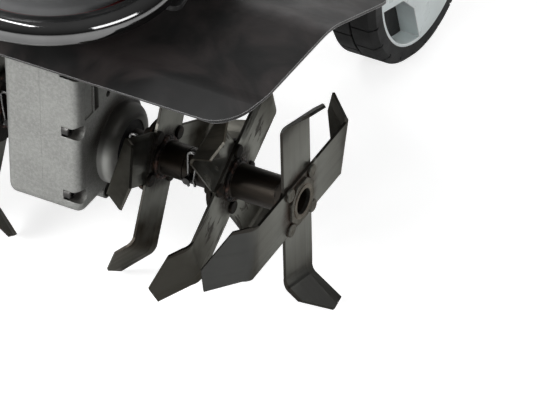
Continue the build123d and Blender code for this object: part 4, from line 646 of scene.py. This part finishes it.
def floor_paper(name):
    """White paper, lifted to white where it is seen; what mirrors it also sees the object's shade on it."""
    look = Look(name, 0.0)
    path = look.add("ShaderNodeLightPath").outputs
    node = look.add("ShaderNodeAmbientOcclusion", {"Distance": SHADE_REACH}, samples=SHADE_SAMPLES)
    mirrored = look.larger(path["Is Glossy Ray"], path["Is Transmission Ray"])
    mirrored = look.times(mirrored, look.math("POWER", node.outputs["AO"], SHADE_POWER))
    glow = look.times(look.larger(path["Is Camera Ray"], mirrored), FLOOR_GLOW)
    look.set(Base_Color=grey(FLOOR_LEVEL), Roughness=FLOOR_ROUGH, Specular_IOR_Level=0.0,
             Emission_Color=grey(1.0), Emission_Strength=glow)
    return look.done()


floor_mesh = bpy.data.meshes.new("floor")
floor_mesh.from_pydata([(-FLOOR_REACH, -FLOOR_REACH, 0), (FLOOR_REACH, -FLOOR_REACH, 0),
                        (FLOOR_REACH, FLOOR_REACH, 0), (-FLOOR_REACH, FLOOR_REACH, 0)], [], [(0, 1, 2, 3)])
floor = bpy.data.objects.new("floor", floor_mesh)
floor.location.z = cad_box[0].z - FLOOR_DROP
floor_mesh.materials.append(floor_paper("floor"))
bpy.context.scene.collection.objects.link(floor)

# Each lamp: place, width and height in metres, and power in watts
LAMPS = {
    "key": ((-1.8, -2.6, 1.6), 1.6, 1.6, 105.0),
    "fill": ((2.8, -0.8, 1.4), 2.0, 0.7, 34.0),
    "back": ((0.2, 2.7, 1.2), 3.2, 1.0, 24.0),
    "strip": ((-0.6, -1.0, 2.6), 1.8, 0.2, 18.0),
}
AIM = Vector((0.05, -0.2, 0.2))
for name, (place, width, height, power) in LAMPS.items():
    lamp = bpy.data.lights.new(name, "AREA")
    lamp.shape = "RECTANGLE"
    lamp.size, lamp.size_y = width, height
    lamp.energy = power
    holder = bpy.data.objects.new(name, lamp)
    holder.location = place
    holder.rotation_mode = "QUATERNION"
    holder.rotation_quaternion = (AIM - Vector(place)).to_track_quat("-Z", "Y")
    bpy.context.scene.collection.objects.link(holder)

# The world's strength rises with the height of the direction
SKY_RAMP = {"From Min": 0.1, "From Max": 0.95, "To Min": 0.06, "To Max": 0.24}
world = bpy.data.worlds.new("studio")
bpy.context.scene.world = world
world.use_nodes = True
sky, links = world.node_tree.nodes, world.node_tree.links
direction = sky.new("ShaderNodeSeparateXYZ")
ramp = sky.new("ShaderNodeMapRange")
for socket, value in SKY_RAMP.items():
    ramp.inputs[socket].default_value = value
links.new(sky.new("ShaderNodeTexCoord").outputs["Generated"], direction.inputs["Vector"])
links.new(direction.outputs["Z"], ramp.inputs["Value"])
links.new(ramp.outputs["Result"], sky["Background"].inputs["Strength"])
sky["Background"].inputs["Color"].default_value = grey(1.0)

bpy.context.scene.view_settings.view_transform = "Standard"
